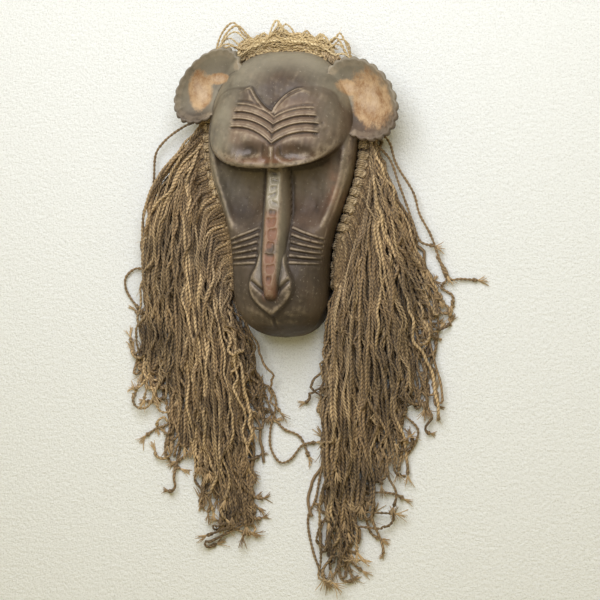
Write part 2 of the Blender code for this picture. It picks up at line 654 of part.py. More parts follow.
def finish(objects):
    """Apply the modifiers, clear the helpers away and stand the part over the origin."""
    graph = bpy.context.evaluated_depsgraph_get()
    applied = [bpy.data.meshes.new_from_object(obj.evaluated_get(graph)) for obj in objects]
    for obj, mesh in zip(objects, applied):
        obj.modifiers.clear()
        obj.data = mesh
    for obj in list(bpy.data.objects):
        if obj not in objects:
            bpy.data.objects.remove(obj)
    for group in list(bpy.data.collections):
        bpy.data.collections.remove(group)
    every = np.array([v.co[:] for obj in objects for v in obj.data.vertices])
    middle = (every.min(axis=0) + every.max(axis=0)) / 2
    for obj in objects:
        for v in obj.data.vertices:
            z = 0.0 if abs(v.co.z) < 0.02 * mm else v.co.z
            v.co = (v.co.x - middle[0], v.co.y - middle[1], z)
        obj.data.shade_smooth()
        obj.data.set_sharp_from_angle(angle=math.radians(38))


def main():
    for obj in list(bpy.data.objects):
        bpy.data.objects.remove(obj)
    floor = floor_cutter()
    finish([mask(floor), rim_rope(), mane(-1, floor), mane(1, floor), crest()])


main()
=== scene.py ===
"""Looks of the carved monkey mask: worn dark wood, a knotted rim cord, a mane of twisted cords, raffia loops.

As in the solids, the face is worked out in carving units: one unit is a millimetre at the real size, x runs
across the face, y up it and z out of it. PLACE moves the finished pieces to where the frame has them.
"""

import math

import bmesh
import bpy
import numpy as np
from mathutils import Matrix, Vector


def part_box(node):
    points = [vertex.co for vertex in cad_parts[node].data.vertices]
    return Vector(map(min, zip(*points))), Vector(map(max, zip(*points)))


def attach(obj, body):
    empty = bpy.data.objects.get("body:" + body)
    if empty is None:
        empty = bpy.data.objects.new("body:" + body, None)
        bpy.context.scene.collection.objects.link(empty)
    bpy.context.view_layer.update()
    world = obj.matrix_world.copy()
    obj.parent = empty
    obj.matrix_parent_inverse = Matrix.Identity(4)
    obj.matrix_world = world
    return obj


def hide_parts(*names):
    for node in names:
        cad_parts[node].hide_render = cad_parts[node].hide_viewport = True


mm = 0.001
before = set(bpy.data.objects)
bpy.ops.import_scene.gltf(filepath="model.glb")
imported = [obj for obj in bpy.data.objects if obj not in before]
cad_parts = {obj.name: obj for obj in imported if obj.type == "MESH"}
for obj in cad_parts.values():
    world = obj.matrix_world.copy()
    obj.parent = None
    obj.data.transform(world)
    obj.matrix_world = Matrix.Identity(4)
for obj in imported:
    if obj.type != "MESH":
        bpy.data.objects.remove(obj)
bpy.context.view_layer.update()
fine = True

# Sizes shared with the frame's solids
FACE_WIDTH = 132 * mm
FACE_HEIGHT = 256 * mm
FACE_DEPTH = 92 * mm
WALL = 9 * mm
RIM_WIDTH = 11 * mm
ROPE_RADIUS = 5 * mm
ROPE_RISE = 12.5 * mm
EAR_CLEARANCE = 3.5 * mm
EAR_THICKNESS = 7 * mm
EAR_CUP = 12 * mm
BACK_MIDDLE = np.array([0.0, -6.0]) * mm
CAVITY_OPENING = 6 * mm
BAND_RADIUS = 3.6 * mm
GAP = 0.4 * mm

# The same face in carving units
UNIT_WIDTH = 132.0
UNIT_HEIGHT = 256.0
UNIT_DEPTH = 92.0
SCALE = np.array([FACE_WIDTH / UNIT_WIDTH, FACE_HEIGHT / UNIT_HEIGHT, FACE_DEPTH / UNIT_DEPTH])

# Fineness of the meshes
FACE_COLUMNS = 176 if fine else 100
FACE_ROWS = 390 if fine else 190
OUTLINE_POINTS = 720
BROW_POINTS = 48
CAVITY_RAYS = 60
CAVITY_RINGS = 12
EAR_RAYS = 240 if fine else 120
EAR_RINGS = 22 if fine else 12
SMOOTHING_ROUNDS = 28 if fine else 8

# Half outline of the back rim, from the top of the head down to the chin, as (x, y)
HALF_OUTLINE = [
    (0, 128), (17, 127), (33, 121.5), (47, 110), (57, 95), (63, 78), (66, 58), (65, 36),
    (61, 14), (54, -8), (46.5, -30), (42, -50), (40.5, -70), (40, -90), (36.5, -106), (28, -118.5),
    (15, -126), (0, -128),
]
# Where the face's mesh ends, just inside chin and crown
GRID_END_Y = 127.2
# Height of the bare head over the middle line, as (y, z)
CROWN = [
    (-128, 16), (-125, 34), (-119, 52), (-109, 66), (-95, 72), (-75, 73), (-55, 68), (-38, 59), (-20, 51),
    (0, 47), (25, 49), (50, 56), (75, 61), (93, 59), (108, 49), (120, 34), (126, 22), (128, 14),
]
# Height at which the upright side wall ends, as (y, z)
SHOULDER = [(-128, 16), (-110, 30), (-80, 42), (-40, 42), (-10, 38), (30, 38), (60, 29), (95, 20), (128, 14)]

# Brow
BROW_HALF_WIDTH = 65.0
BROW_MIDDLE_Y = 62.0
BROW_LIP_Y = 17.0
BROW_NOTCH_Y = 70.5
BROW_NOTCH_X = -2.6
BROW_LOBE_X = 32.0
BROW_LOBE_Y = 93.0
BROW_OVERHANG = 6.0

# Lines of the brow, by their height at the middle, then nose, ribs of the snout and mouth
CHEVRON_MIDDLES = (64.8, 57.7, 51.0, 44.0)
CARVING_MIDDLE_X = 2.2
NOSE_TIP_Y = -92.0
NOSE_MIDDLE_X = 0.8
SPADE_TIP_Y = -108.0
RIB_TOP_Y = -31.0
RIB_PITCH = 6.2
RIB_SLOPE = 0.42
RIB_BEND_X = 16.0
# The crease between nose and lips starts at the middle here and runs outwards and up by these
CREASE_Y = -93.0
CREASE_RUN = (19.0, 17.0)
# Height of the nose, as (y, z), its cuts, as (middle y, half height), and the leaf, as (y, half width)
NOSE_HEIGHT = [(-110, 76), (-100, 82), (-88, 87), (-60, 83), (-30, 75), (0, 67), (20, 63), (60, 60)]
NOSE_CUTS = [
    (15, 3.0), (8.8, 3.0), (2.4, 3.1), (-4.2, 3.2), (-11.5, 3.5), (-19, 3.4), (-27.5, 4.4), (-38, 5.4),
    (-49, 5.0), (-59, 4.6), (-68.5, 4.6), (-77.5, 4.0),
]
SPADE_HALF_WIDTH = [
    (-109, 0.6), (-106, 4), (-100, 11), (-93, 17), (-84, 20), (-76, 19), (-66, 14.5), (-54, 12), (-48, 11),
]
# Small dents in the wood, as (x, y, half width, depth)
NICKS = [
    (44, 59, 1.4, 0.9), (47, 53, 1.8, 0.8), (49, 71, 1.2, 0.5), (39, 84, 1.5, 0.5), (-41, 50, 1.3, 0.6),
    (-36, 88, 1.1, 0.5), (12, 101, 1.6, 0.4), (-22, 108, 1.2, 0.4), (33, -12, 1.1, 0.6), (-30, -4, 1.0, 0.5),
    (26, -98, 1.4, 0.6), (-20, -112, 1.2, 0.5), (36, -70, 1.2, 0.5), (-52, 20, 0.9, 0.5),
]

# Rope, crest and mane, as in the solids
ROPE_END_Y = -86.0
CREST_REACH_X = 46.0
# Locks of the mane, as (height of the root on the rope, bend x, bend y, tip x, tip y)
LEFT_LOCKS = [
    (90, -121, 0, -134, -159), (81, -114, -30, -125, -184), (72, -106, -40, -113, -202),
    (62, -97, -50, -102, -231), (50, -90, -60, -85, -246), (34, -85, -60, -79, -267),
    (14, -91, -70, -90, -150), (-4, -82, -85, -66, -291), (-22, -75, -90, -59, -296),
    (-40, -67, -105, -51, -301), (-56, -56, -122, -44, -299), (-70, -46, -133, -39, -296),
    (-82, -39, -128, -34, -196),
]
RIGHT_LOCKS = [
    (74, 113, -40, 143, -100), (65, 108, -60, 126, -122), (56, 101, -70, 127, -196),
    (46, 94, -75, 108, -211), (36, 87, -80, 101, -232), (24, 80, -85, 91, -254), (8, 72, -90, 77, -287),
    (-9, 64, -100, 64, -314), (-26, 57, -110, 57, -332), (-44, 49, -125, 47, -339),
    (-62, 44, -145, 37, -342), (-80, 46, -125, 36, -190),
]

# Ears: (centre x, centre y, half width, half height, lean in degrees), the lean turning the top inwards
EARS = {"left": (-66.0, 96.2, 21.8, 36.5, 38.0), "right": (72.2, 82.0, 28.0, 38.0, 36.0)}
EAR_SCALLOPS = 23
EAR_SCALLOP_DEPTH = 0.05
EAR_TILT = 0.08
# Bare wood inside the ears, as (centre x, centre y, half width, half height, lean in degrees)
BARE_PATCHES = [(-74, 92, 10, 18, 0), (-58, 103, 13, 5, 0), (81, 82, 18, 27, 20), (63, 92, 12, 7, -20)]

# Loops of the crest, as (foot x, peak x, height over the band, foot x)
CREST_LOOPS = [
    (-73, -48, 30, -24), (-71, -51, 19, -27), (-43, -33, 7, -22), (-30, -20, 6, -10),
    (-17, -7, 17, 2), (-9, 1, 13, 12), (12, 19, 7, 27), (24, 33, 9, 43), (36, 50, 21, 61),
]
CREST_STRANDS = 30

# Cords. A cord's section has two plies, given as (angle in degrees, share of the radius)
CORD_RADIUS = 1.22 * mm
CORD_PITCH = 7.5 * mm
CORD_SIDES = ((0, 1.12), (50, 0.74), (130, 0.74), (180, 1.12), (230, 0.74), (310, 0.74))
SPUN_CORD_STEP = CORD_PITCH / 5
PLAIN_CORD_STEP = 2.9 * mm
LYING_HEIGHT = CORD_RADIUS * 1.1
TUFT_LENGTH = 11 * mm
TUFT_HAIRS = 10
ROPE_CORE_RADIUS = 2.7 * mm
KNOT_PITCH = 8.4 * mm
# Where a knot's four turns lie, as shares of the pitch from its middle
KNOT_TURNS = (-0.36, -0.12, 0.12, 0.36)
MANE_DEPTH = 22 * mm
LOCK_POINTS = 110
CLUMPS_PER_LOCK = 1.25
CORDS_SHOWN = 132 if fine else 92
CORDS_BELOW = 74 if fine else 48
CORDS_UNDER = 60 if fine else 40
# Cords that show are dark, middling or light, in these shares
CORD_SHADES = (0.08, 0.42, 0.9)
SHADE_SHARES = (0.2, 0.42, 0.38)
# Single cords that stand off, as (height at the start, [(x, y) along it])
LEFT_SINGLES = [
    (12, [(-74, 66), (-86, 66), (-104, 57), (-116, 47), (-122, 38), (-124, 14), (-126, -5), (-124, -33)]),
    (4, [(-128, -58), (-131, -66), (-143, -66), (-152, -74), (-152, -84), (-146, -95), (-138, -104)]),
    (4, [(-110, -172), (-119, -186), (-133, -187)]),
    (3, [(-101, -190), (-112, -207), (-124, -212), (-134, -219)]),
    (3, [(-104, -194), (-111, -213), (-115, -231), (-108, -244), (-100, -248)]),
    (4, [(-77, -221), (-91, -233), (-105, -242)]),
    (3, [(-82, -231), (-85, -247), (-87, -258), (-81, -267), (-81, -279)]),
    (4, [(-40, -105), (-38, -131), (-32, -155), (-24, -172), (-15, -196), (-5, -210), (10, -217),
         (19, -236)]),
    (5, [(-39, -120), (-38, -140), (-32, -166), (-16, -174), (-11, -188), (-16, -209), (-16, -228),
         (-7, -241), (2, -238), (13, -225), (26, -222)]),
    (5, [(-46, -180), (-35, -196), (-24, -201), (-13, -203)]),
    (6, [(-46, -160), (-38, -183), (-28, -182)]),
    (4, [(-48, -176), (-45, -191), (-32, -224), (-35, -253), (-45, -273)]),
]
RIGHT_SINGLES = [
    (12, [(73, 60), (83, 56), (93, 46), (99, 27), (115, 0), (120, -18), (130, -37), (140, -64), (145, -74)]),
    (5, [(138, -61), (145, -76), (156, -76), (172, -77)]),
    (12, [(80, 46), (94, 30), (101, 11), (110, -14), (116, -32), (121, -43), (134, -47)]),
    (4, [(134, -55), (145, -74), (139, -83), (149, -91), (148, -100)]),
    (4, [(129, -86), (136, -112), (134, -135), (132, -146), (124, -158)]),
    (4, [(106, -197), (118, -210), (113, -226), (106, -233)]),
    (5, [(61, -260), (74, -266), (87, -266), (99, -268), (106, -272)]),
    (4, [(68, -269), (71, -289), (76, -303), (84, -308)]),
    (3, [(40, -228), (30, -249), (25, -273), (18, -290), (22, -318), (28, -335), (35, -348)]),
    (4, [(52, -314), (58, -329), (68, -337)]),
    (27, [(81, 16), (78, -11), (72, -37), (63, -61), (57, -94), (54, -130)]),
]

# Where the frame has the face: its middle, and the floor at the rim
ROPE_LOW, ROPE_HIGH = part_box("rim_rope")
PLACE = np.array([(ROPE_LOW.x + ROPE_HIGH.x) / 2, ROPE_HIGH.y - FACE_HEIGHT / 2 - GAP - 2 * ROPE_RADIUS, 0.0])

# View, with the size of a pixel at the mask as its scale, and light
VIEW_TURN = 12
VIEW_DISTANCE = 2.0
VIEW_SCALE = 0.9 * mm
VIEW_PIXELS = 600
VIEW_TARGET = np.array([10.1, -94.5, 0.0]) * mm
SENSOR_WIDTH = 36
FLOOR_SIZE = 6
LAMP_PLACE = Vector((0.0, 0.6, 0.9))
LAMP_AIM = Vector((0.0, 0.02, 0.0))
LAMP_SIZE = 0.9
LAMP_WATTS = 13.8
LAMP_TINT = (0.80, 0.86, 1.0)
ROOM_TINT = (1.0, 0.89, 0.5, 1)
ROOM_LIGHT = 0.45

# Colours, in screen values of 0 to 255. Fibres have a light, a middle and a dark one.
CORD_COLOURS = ((220, 187, 139), (160, 131, 95), (54, 41, 30))
ROPE_COLOURS = ((232, 204, 160), (190, 162, 122), (88, 69, 50))
RAFFIA_COLOURS = ((242, 218, 170), (212, 184, 134), (136, 110, 72))
# Coats over the dark wood, some with painted light in them, as (zone, noise that breaks it up, its low and
# high, strength, colour)
WOOD_COATS = [
    ("red", "patch", 0.26, 0.5, 0.8, (140, 92, 66)), ("dust_and_painted_light", "blotch", 0.1, 0.65, 0.85, (164, 155, 133)),
    ("wear_and_highlight", "fleck", 0.3, 0.6, 0.6, (178, 158, 132)), ("grime_and_shade", "blotch", 0.15, 0.5, 0.75, (42, 33, 27)),
]

dice = np.random.default_rng(11)


# Curves and outlines
def ease(low, high, t):
    """Eases from 0 where t is low to 1 where it is high, also where high is the smaller."""
    s = np.clip((t - low) / (high - low), 0.0, 1.0)
    return s * s * (3 - 2 * s)


def hill(t, width):
    """A smooth hill that is 1 at t = 0 and about a third at the width."""
    return np.exp(-((t / width) ** 2))


def curve(knots, t):
    """A smooth curve through the knots (t, value), which rise in t."""
    at, value = np.array(knots, float).T
    slope = np.gradient(value, at)
    t = np.clip(t, at[0], at[-1])
    i = np.clip(np.searchsorted(at, t) - 1, 0, len(at) - 2)
    step = at[i + 1] - at[i]
    s = (t - at[i]) / step
    return (
        (2 * s**3 - 3 * s**2 + 1) * value[i]
        + (s**3 - 2 * s**2 + s) * step * slope[i]
        + (3 * s**2 - 2 * s**3) * value[i + 1]
        + (s**3 - s**2) * step * slope[i + 1]
    )


def smooth_path(points, count):
    """Evenly spaced points on a smooth curve through the given ones."""
    p = np.array(points, float)
    knots = np.concatenate([[0], np.cumsum(np.linalg.norm(np.diff(p, axis=0), axis=1) ** 0.5)])
    at = np.linspace(0, knots[-1], 24 * len(p))
    line = np.column_stack([curve(list(zip(knots, p[:, k])), at) for k in range(p.shape[1])])
    return even(line, count)


def round_angles(count):
    """Angles evenly spaced round a circle."""
    return np.linspace(0, math.tau, count, endpoint=False)


def even(line, count):
    """The line again, as count points at equal distances."""
    along = np.concatenate([[0], np.cumsum(np.linalg.norm(np.diff(line, axis=0), axis=1))])
    at = np.linspace(0, along[-1], count)
    return np.column_stack([np.interp(at, along, line[:, k]) for k in range(line.shape[1])])


def face_outline(count, inset=0.0):
    """The rim's outline, a ring of (x, y) in metres, anticlockwise from the chin, moved inwards by inset."""
    half = np.array(HALF_OUTLINE[::-1], float) * SCALE[:2]
    whole = np.vstack([half, (half * [-1, 1])[-2:0:-1]])
    ring = smooth_path(np.vstack([whole, whole[:3]]), 16 * count)
    start = int(np.argmin(np.linalg.norm(ring[len(ring) // 2 :] - ring[0], axis=1))) + len(ring) // 2
    ring = even(ring[: start + 1], count + 1)[:-1]
    along = np.roll(ring, -1, axis=0) - np.roll(ring, 1, axis=0)
    outward = np.column_stack([along[:, 1], -along[:, 0]])
    outward /= np.linalg.norm(outward, axis=1)[:, None]
    return ring - outward * inset


def half_width(y):
    """Half the rim's width at each height y, in carving units."""
    ring = face_outline(OUTLINE_POINTS) / SCALE[:2]
    right = ring[ring[:, 0] >= -0.01]
    order = np.argsort(right[:, 1])
    return np.maximum(np.interp(y, right[order, 1], right[order, 0]), 0.5)


def bare_head(x, y):
    """Skull, hollow cheeks and muzzle with no carving on them: what the hollow inside follows."""
    w = half_width(y)
    r = np.clip(np.abs(x) / w, 0, 1)
    crown, shoulder = curve(CROWN, y), curve(SHOULDER, y)
    squareness = 4.6 - 1.2 * ease(20, 60, y) - 0.5 * ease(75, 115, y) - 1.6 * ease(-30, -70, y)
    z = shoulder + np.maximum(crown - shoulder, 0) * (1 - r**squareness) ** 0.5
    cheek = ease(-36, -14, y) * ease(60, 30, y)
    z = z - 8.5 * cheek * hill(np.abs(x) - 0.52 * w, 0.30 * w)
    return z + 4.0 * ease(-38, -22, y) * ease(50, 30, y) * hill(w - 5.5 - np.abs(x), 4.2)


def brow_outline(count):
    """The two-lobed brow as a closed ring of (x, y), its lower edge held back by the overhang."""
    sides = []
    for power, steep in ((2.1, False), (2.5, True)):
        a = BROW_HALF_WIDTH * np.sin(np.linspace(0, math.pi / 2, count))
        r = a / BROW_HALF_WIDTH
        low = BROW_MIDDLE_Y - (BROW_MIDDLE_Y - BROW_LIP_Y) * (1 - r**power) ** (1 / power)
        low = low + BROW_OVERHANG * (1 - r**2)
        outer = np.clip((a - BROW_LOBE_X) / (BROW_HALF_WIDTH - BROW_LOBE_X), 0, 1)
        crest_y = BROW_MIDDLE_Y + (BROW_LOBE_Y - BROW_MIDDLE_Y) * (1 - outer**2.2) ** 0.5
        rise = 0.62 * a + 0.034 * a**2 if steep else 22.5 * (1 - (1 - np.clip(a / 38, 0, 1)) ** 2.6)
        high = np.minimum(BROW_NOTCH_Y + rise, crest_y)
        sides.append(np.vstack([np.column_stack([a, low]), np.column_stack([a, high])[-2::-1]]))
    right, left = sides
    ring = np.vstack([right, (left * [-1, 1])[-2:0:-1]])
    x, y = ring.T
    return np.column_stack([x + BROW_NOTCH_X * ease(66, 74, y) * ease(40, 10, np.abs(x)), y])


def depth_inside(x, y, ring):
    """Distance of each (x, y) from the ring's edge, positive inside it."""
    start, end = ring, np.roll(ring, -1, axis=0)
    run = end - start
    best = np.full(x.shape, 1e9)
    crossings = np.zeros(x.shape, int)
    for (sx, sy), ey, (rx, ry) in zip(start, end[:, 1], run):
        length2 = rx * rx + ry * ry + 1e-12
        t = np.clip(((x - sx) * rx + (y - sy) * ry) / length2, 0, 1)
        best = np.minimum(best, np.hypot(x - sx - t * rx, y - sy - t * ry))
        if sy != ey:
            spans = (sy > y) != (ey > y)
            crossings += spans & (x < sx + (y - sy) * rx / ry)
    return np.where(crossings % 2 == 1, best, -best)


def brow(x, y, inside):
    """The brow's front face, rounded over at its edge and softly so at the outside of its top."""
    a = np.abs(x)
    front = 65.5 + 18.5 * ease(92, 34, y) - 29 * (a / BROW_HALF_WIDTH) ** 3
    front = front - 2.5 * hill(x, 9) * ease(48, 62, y)
    lip = ease(62, 38, y)
    radius = 4 + 7 * lip + 4 * ease(40, 60, a) + 8 * (1 - lip) * ease(18, 36, a)
    left = np.clip(radius - np.maximum(inside, 0), 0, radius)
    edge = ease(30, 20, a) * ease(62, 70, y)
    line = 1.0 * hill(inside - 1.2, 0.75) - 1.1 * hill(inside - 3.2, 0.9)
    return front - (radius - np.sqrt(radius**2 - left**2)) + edge * line


def chevron_rise(x):
    """How far a brow line has risen at x: the lines climb higher on the left than on the right."""
    x = x - CARVING_MIDDLE_X
    a = np.abs(x)
    left = 12.6 * (1 - (1 - np.clip(a / 34, 0, 1)) ** 2)
    right = 8.0 * (1 - (1 - np.clip(a / 29, 0, 1)) ** 2) - 0.008 * np.maximum(a - 29, 0) ** 2
    return np.where(x < 0, left, right)


def chevrons(x, y):
    """Depth of the brow lines: thin lips cut like shingles, rising from the middle to either side."""
    v = y - chevron_rise(x)
    depth = np.zeros_like(x)
    for i, middle in enumerate(CHEVRON_MIDDLES):
        reach = np.where(x < 0, 33.5 + 1.2 * i, 37 + 2.4 * min(i, 2))
        fade = ease(reach + 1.2, reach - 2.5, np.abs(x))
        over = v - middle
        if i == 0:
            lip = 0.7 * hill(over + 1.5, 0.8) - 1.1 * hill(over, 0.75) + 0.9 * hill(over - 2.2, 1.3)
            depth += fade * lip
            continue
        above = ease(6.2, 0.4, over) * ease(-0.5, 0.5, over)
        below = ease(0.5, -0.4, over) * ease(-4.5, -0.4, over)
        depth += fade * (1.7 * below - 1.2 * above + 0.5 * hill(over - 1.9, 0.5))
    return depth


def brow_modelling(x, y):
    """Closed eyes below the lines: a hollow each side of a short ridge, over a full lower lip of wood."""
    x = x - CARVING_MIDDLE_X
    left, right = ease(2, -2, x), ease(-2, 2, x)
    hollow = left * hill(x + 19, 13) * hill(y - 39.5, 6.6) + right * hill(x - 21, 18) * hill(y - 36.5, 6.6)
    side_in = ease(3.0, 8, np.abs(x))
    swell_y = np.where(x < 0, 27.0 - 0.12 * (x + 5), 27.0 + 8.0 * hill(x, 8) + 0.004 * (x - 22) ** 2)
    swell = hill(y - swell_y, 3.8) * hill(np.abs(x) - 20, 18) * side_in
    ridge = 2.4 * hill(x, 1.9) * ease(17, 22, y) * ease(46, 41, y)
    return ridge - 5.4 * hollow * side_in + 3.4 * swell


def nose(x, y):
    """The long ridge: a flat band on top, scooped out in steps, with sloping sides."""
    a = np.abs(x - NOSE_MIDDLE_X)
    band = 1.6 + 3.6 * ease(NOSE_TIP_Y - 2, NOSE_TIP_Y + 30, y) - 0.6 * ease(-30, 10, y)
    top = curve(NOSE_HEIGHT, y) - 0.02 * a**2
    side = np.maximum(a - band, 0)
    ridge = top - 0.5 * side - 0.33 * side**2 - 60 * ease(NOSE_TIP_Y + 2, NOSE_TIP_Y - 20, y)
    cut = np.zeros_like(ridge)
    for i, (middle, half) in enumerate(NOSE_CUTS):
        lower = middle < -20
        reach = band * (0.98 - 0.14 * (i % 3))
        off = x - NOSE_MIDDLE_X - 0.9 * ((i * 2) % 3 - 1)
        slant = (0.1 if lower else 0.3) * ((i * 5) % 4 - 1.5)
        along = y - middle - 0.07 * off**2 - slant * off
        bowl = 1 - (along / half) ** 2 - (off / reach) ** 4
        depth = (1.5 if lower else 1.7) * (0.8 + 0.3 * np.clip(along / half, -1, 1))
        cut = np.maximum(cut, np.sqrt(np.maximum(bowl, 0)) * depth)
    return ridge - cut


def muzzle_ribs(x, y):
    """Six ribs across each side of the snout, sloping down and outwards."""
    a = np.abs(x)
    down = (RIB_TOP_Y - RIB_SLOPE * np.maximum(a - RIB_BEND_X, 0) * ease(-70, -32, y) - y) / RIB_PITCH
    window = ease(-0.5, 0.1, down) * ease(5.6, 5.1, down)
    window = window * ease(13, 15.5, a) * ease(0.2, 1.6, half_width(y) - a)
    return window * (1.5 * np.cos(math.tau * down) - 0.3)


def spade(x, y):
    """Nostril wings and lips: a raised leaf that ends in a point, with a crease between nose and lips."""
    a = np.abs(x)
    edge = curve(SPADE_HALF_WIDTH, y) - a
    edge = np.where((y > -47) | (y < SPADE_TIP_Y), -5, edge)
    raised = 5.2 * ease(-1.2, 2.2, edge) * ease(-47, -60, y)
    out, up = CREASE_RUN
    along = (a * out + (y - CREASE_Y) * up) / (out**2 + up**2)
    off = (a * up - (y - CREASE_Y) * out) / math.hypot(out, up)
    crease = 2.6 * hill(off, 1.8) * ease(-0.02, 0.1, along) * ease(1.05, 0.8, along)
    wing = 2.2 * hill(a - 14, 5) * hill(y + 79, 9)
    return raised - crease + wing


def adze_marks(x, y):
    """Slight unevenness left by the tools, and small nicks."""
    wave = np.sin(0.31 * x + 0.9 * np.sin(0.11 * y)) * np.sin(0.23 * y + 1.3 * np.sin(0.17 * x + 0.6))
    ripple = np.sin(0.83 * x + 0.35 * y + 1.1 * np.sin(0.21 * y)) * np.sin(0.57 * y - 0.4 * x)
    nicks = np.zeros_like(x)
    for nx, ny, size, depth in NICKS:
        nicks = nicks + depth * hill(np.hypot(x - nx, y - ny), size)
    return 0.28 * wave + 0.10 * ripple - nicks


def face_height(x, y):
    """Height of the carved face over the back rim, all in carving units."""
    z = bare_head(x, y)
    z = z + spade(x, y) * ease(-44, -52, y) + muzzle_ribs(x, y)
    z = z - 0.9 * hill(np.abs(x) - 14.0, 1.3) * ease(-66, -58, y) * ease(-24, -32, y)
    z = z - 2.2 * hill(x, 1.5) * ease(SPADE_TIP_Y + 2, SPADE_TIP_Y - 2, y) * ease(-127.5, -125, y)
    bridge = nose(x, y)
    soft = 1.5 + 5 * ease(-34, -20, y)
    joined = 0.5 * (z + bridge + np.sqrt((z - bridge) ** 2 + soft**2)) - 0.5 * soft * hill(z - bridge, 3)
    z = np.where(y < 40, joined, z)
    inside = depth_inside(x, y, brow_outline(BROW_POINTS))
    full = brow(x, y, inside) - chevrons(x, y) + brow_modelling(x, y)
    lip = ease(62, 38, y)
    edge = 1.2 + 1.6 * lip + 7 * (1 - lip) * ease(18, 38, np.abs(x))
    share = ease(-0.6, edge, inside)
    return z + share * np.maximum(full - z, 0) + adze_marks(x, y)


def face_point(x, y):
    """The carved surface at (x, y), as points in metres: the brow's lip leans out over the cheeks."""
    z = face_height(x, y)
    inside = depth_inside(x, y, brow_outline(BROW_POINTS))
    lip = ease(0.2, 2.6, inside) * ease(60, 30, y) * (1 - (np.abs(x) / BROW_HALF_WIDTH) ** 4).clip(0)
    return np.stack([x, y - BROW_OVERHANG * lip, z], axis=-1) * SCALE


# Objects and meshes
def new_object(name, points, faces):
    mesh = bpy.data.meshes.new(name)
    mesh.from_pydata(list(points), [], list(faces))
    mesh.validate()
    obj = bpy.data.objects.new(name, mesh)
    bpy.context.scene.collection.objects.link(obj)
    return obj


def dressed(obj, material, replaced):
    """Finishes a piece: smooth, with its material, and standing for its node of the frame."""
    obj.data.shade_smooth()
    obj.data.materials.append(material)
    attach(obj, "root")
    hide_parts(replaced)


def quads_between(rings, sides, first=0):
    """The faces of a tube of rings of points, numbered in order from the first."""
    k = first + np.arange(rings - 1)[:, None] * sides
    i = np.arange(sides)[None, :]
    j = (i + 1) % sides
    return np.stack([k + i, k + j, k + sides + j, k + sides + i], axis=-1).reshape(-1, 4)


def ringed_solid(name, rings):
    """A closed mesh through equal rings of points, each end closed by a fan round its middle."""
    count = len(rings[0])
    points = [p for ring in rings for p in ring]
    faces = list(quads_between(len(rings), count))
    for start in (0, (len(rings) - 1) * count):
        middle = len(points)
        points.append(np.mean(points[start : start + count], axis=0))
        faces += [(start + i, start + (i + 1) % count, middle) for i in range(count)]
    obj = new_object(name, points, faces)
    facing_out(obj)
    return obj


def facing_out(obj):
    made = bmesh.new()
    made.from_mesh(obj.data)
    bmesh.ops.recalc_face_normals(made, faces=made.faces)
    made.to_mesh(obj.data)
    made.free()


def boolean(obj, operation, other):
    change = obj.modifiers.new(operation.lower(), "BOOLEAN")
    change.operation = operation
    change.solver = "EXACT"
    change.object = other


def apply_modifiers(obj, used):
    graph = bpy.context.evaluated_depsgraph_get()
    mesh = bpy.data.meshes.new_from_object(obj.evaluated_get(graph))
    obj.modifiers.clear()
    obj.data = mesh
    for other in used:
        bpy.data.objects.remove(other)


def set_attribute(mesh, name, values):
    layer = mesh.attributes.new(name, "FLOAT", "POINT")
    layer.data.foreach_set("value", np.asarray(values, np.float32))


def vertex_vectors(mesh, name):
    """A vector that each vertex has, such as its co or normal, as the rows of an array."""
    values = np.empty(len(mesh.vertices) * 3)
    mesh.vertices.foreach_get(name, values)
    return values.reshape(-1, 3)


# Shader nodes
def put(tree, socket, value):
    """Links the value to the socket if it is another node's, or else sets it."""
    if isinstance(value, bpy.types.NodeSocket):
        tree.links.new(value, socket)
    else:
        socket.default_value = value


def node(tree, kind, **inputs):
    made = tree.nodes.new(kind)
    for key, value in inputs.items():
        put(tree, made.inputs[key.replace("_", " ")], value)
    return made


def linear(r, g, b):
    """A colour given in screen values of 0 to 255."""
    c = np.array([r, g, b]) / 255
    return (*np.where(c <= 0.04045, c / 12.92, ((c + 0.055) / 1.055) ** 2.4), 1.0)


def attribute(tree, name):
    made = tree.nodes.new("ShaderNodeAttribute")
    made.attribute_name = name
    return made.outputs["Fac"]


def math_node(tree, operation, a, b=0.0, clamp=False):
    made = tree.nodes.new("ShaderNodeMath")
    made.operation = operation
    made.use_clamp = clamp
    put(tree, made.inputs[0], a)
    put(tree, made.inputs[1], b)
    return made.outputs[0]


def times(tree, a, b):
    return math_node(tree, "MULTIPLY", a, b)


def ramp(tree, value, low, high):
    made = node(tree, "ShaderNodeMapRange", Value=value, From_Min=low, From_Max=high)
    made.interpolation_type = "SMOOTHSTEP"
    return made.outputs["Result"]


def mix(tree, share, a, b):
    """Colour a with a share of colour b in it."""
    made = tree.nodes.new("ShaderNodeMix")
    made.data_type = "RGBA"
    for name, value in (("Factor", share), ("A", a), ("B", b)):
        put(tree, next(s for s in made.inputs if s.name == name and s.enabled), value)
    return next(s for s in made.outputs if s.enabled)


def coat(tree, colour, where, strength, tone):
    """The colour with a coat of another tone over it."""
    return mix(tree, times(tree, where, strength), colour, linear(*tone))


def noise(tree, scale, detail=4.0, rough=0.6, stretch=(1, 1, 1)):
    coordinates = node(tree, "ShaderNodeTexCoord").outputs["Object"]
    mapped = node(tree, "ShaderNodeMapping", Vector=coordinates, Scale=stretch).outputs[0]
    made = node(tree, "ShaderNodeTexNoise", Vector=mapped, Scale=scale, Detail=detail, Roughness=rough)
    return made.outputs["Fac"]


def bump(tree, height, distance, strength, under=None):
    """A bumped normal, over another bump's if one is given."""
    made = node(tree, "ShaderNodeBump", Height=height, Distance=distance, Strength=strength)
    if under is not None:
        put(tree, made.inputs["Normal"], under)
    return made.outputs["Normal"]


def new_material(name):
    material = bpy.data.materials.new(name)
    material.use_nodes = True
    tree = material.node_tree
    return material, tree, tree.nodes["Principled BSDF"]


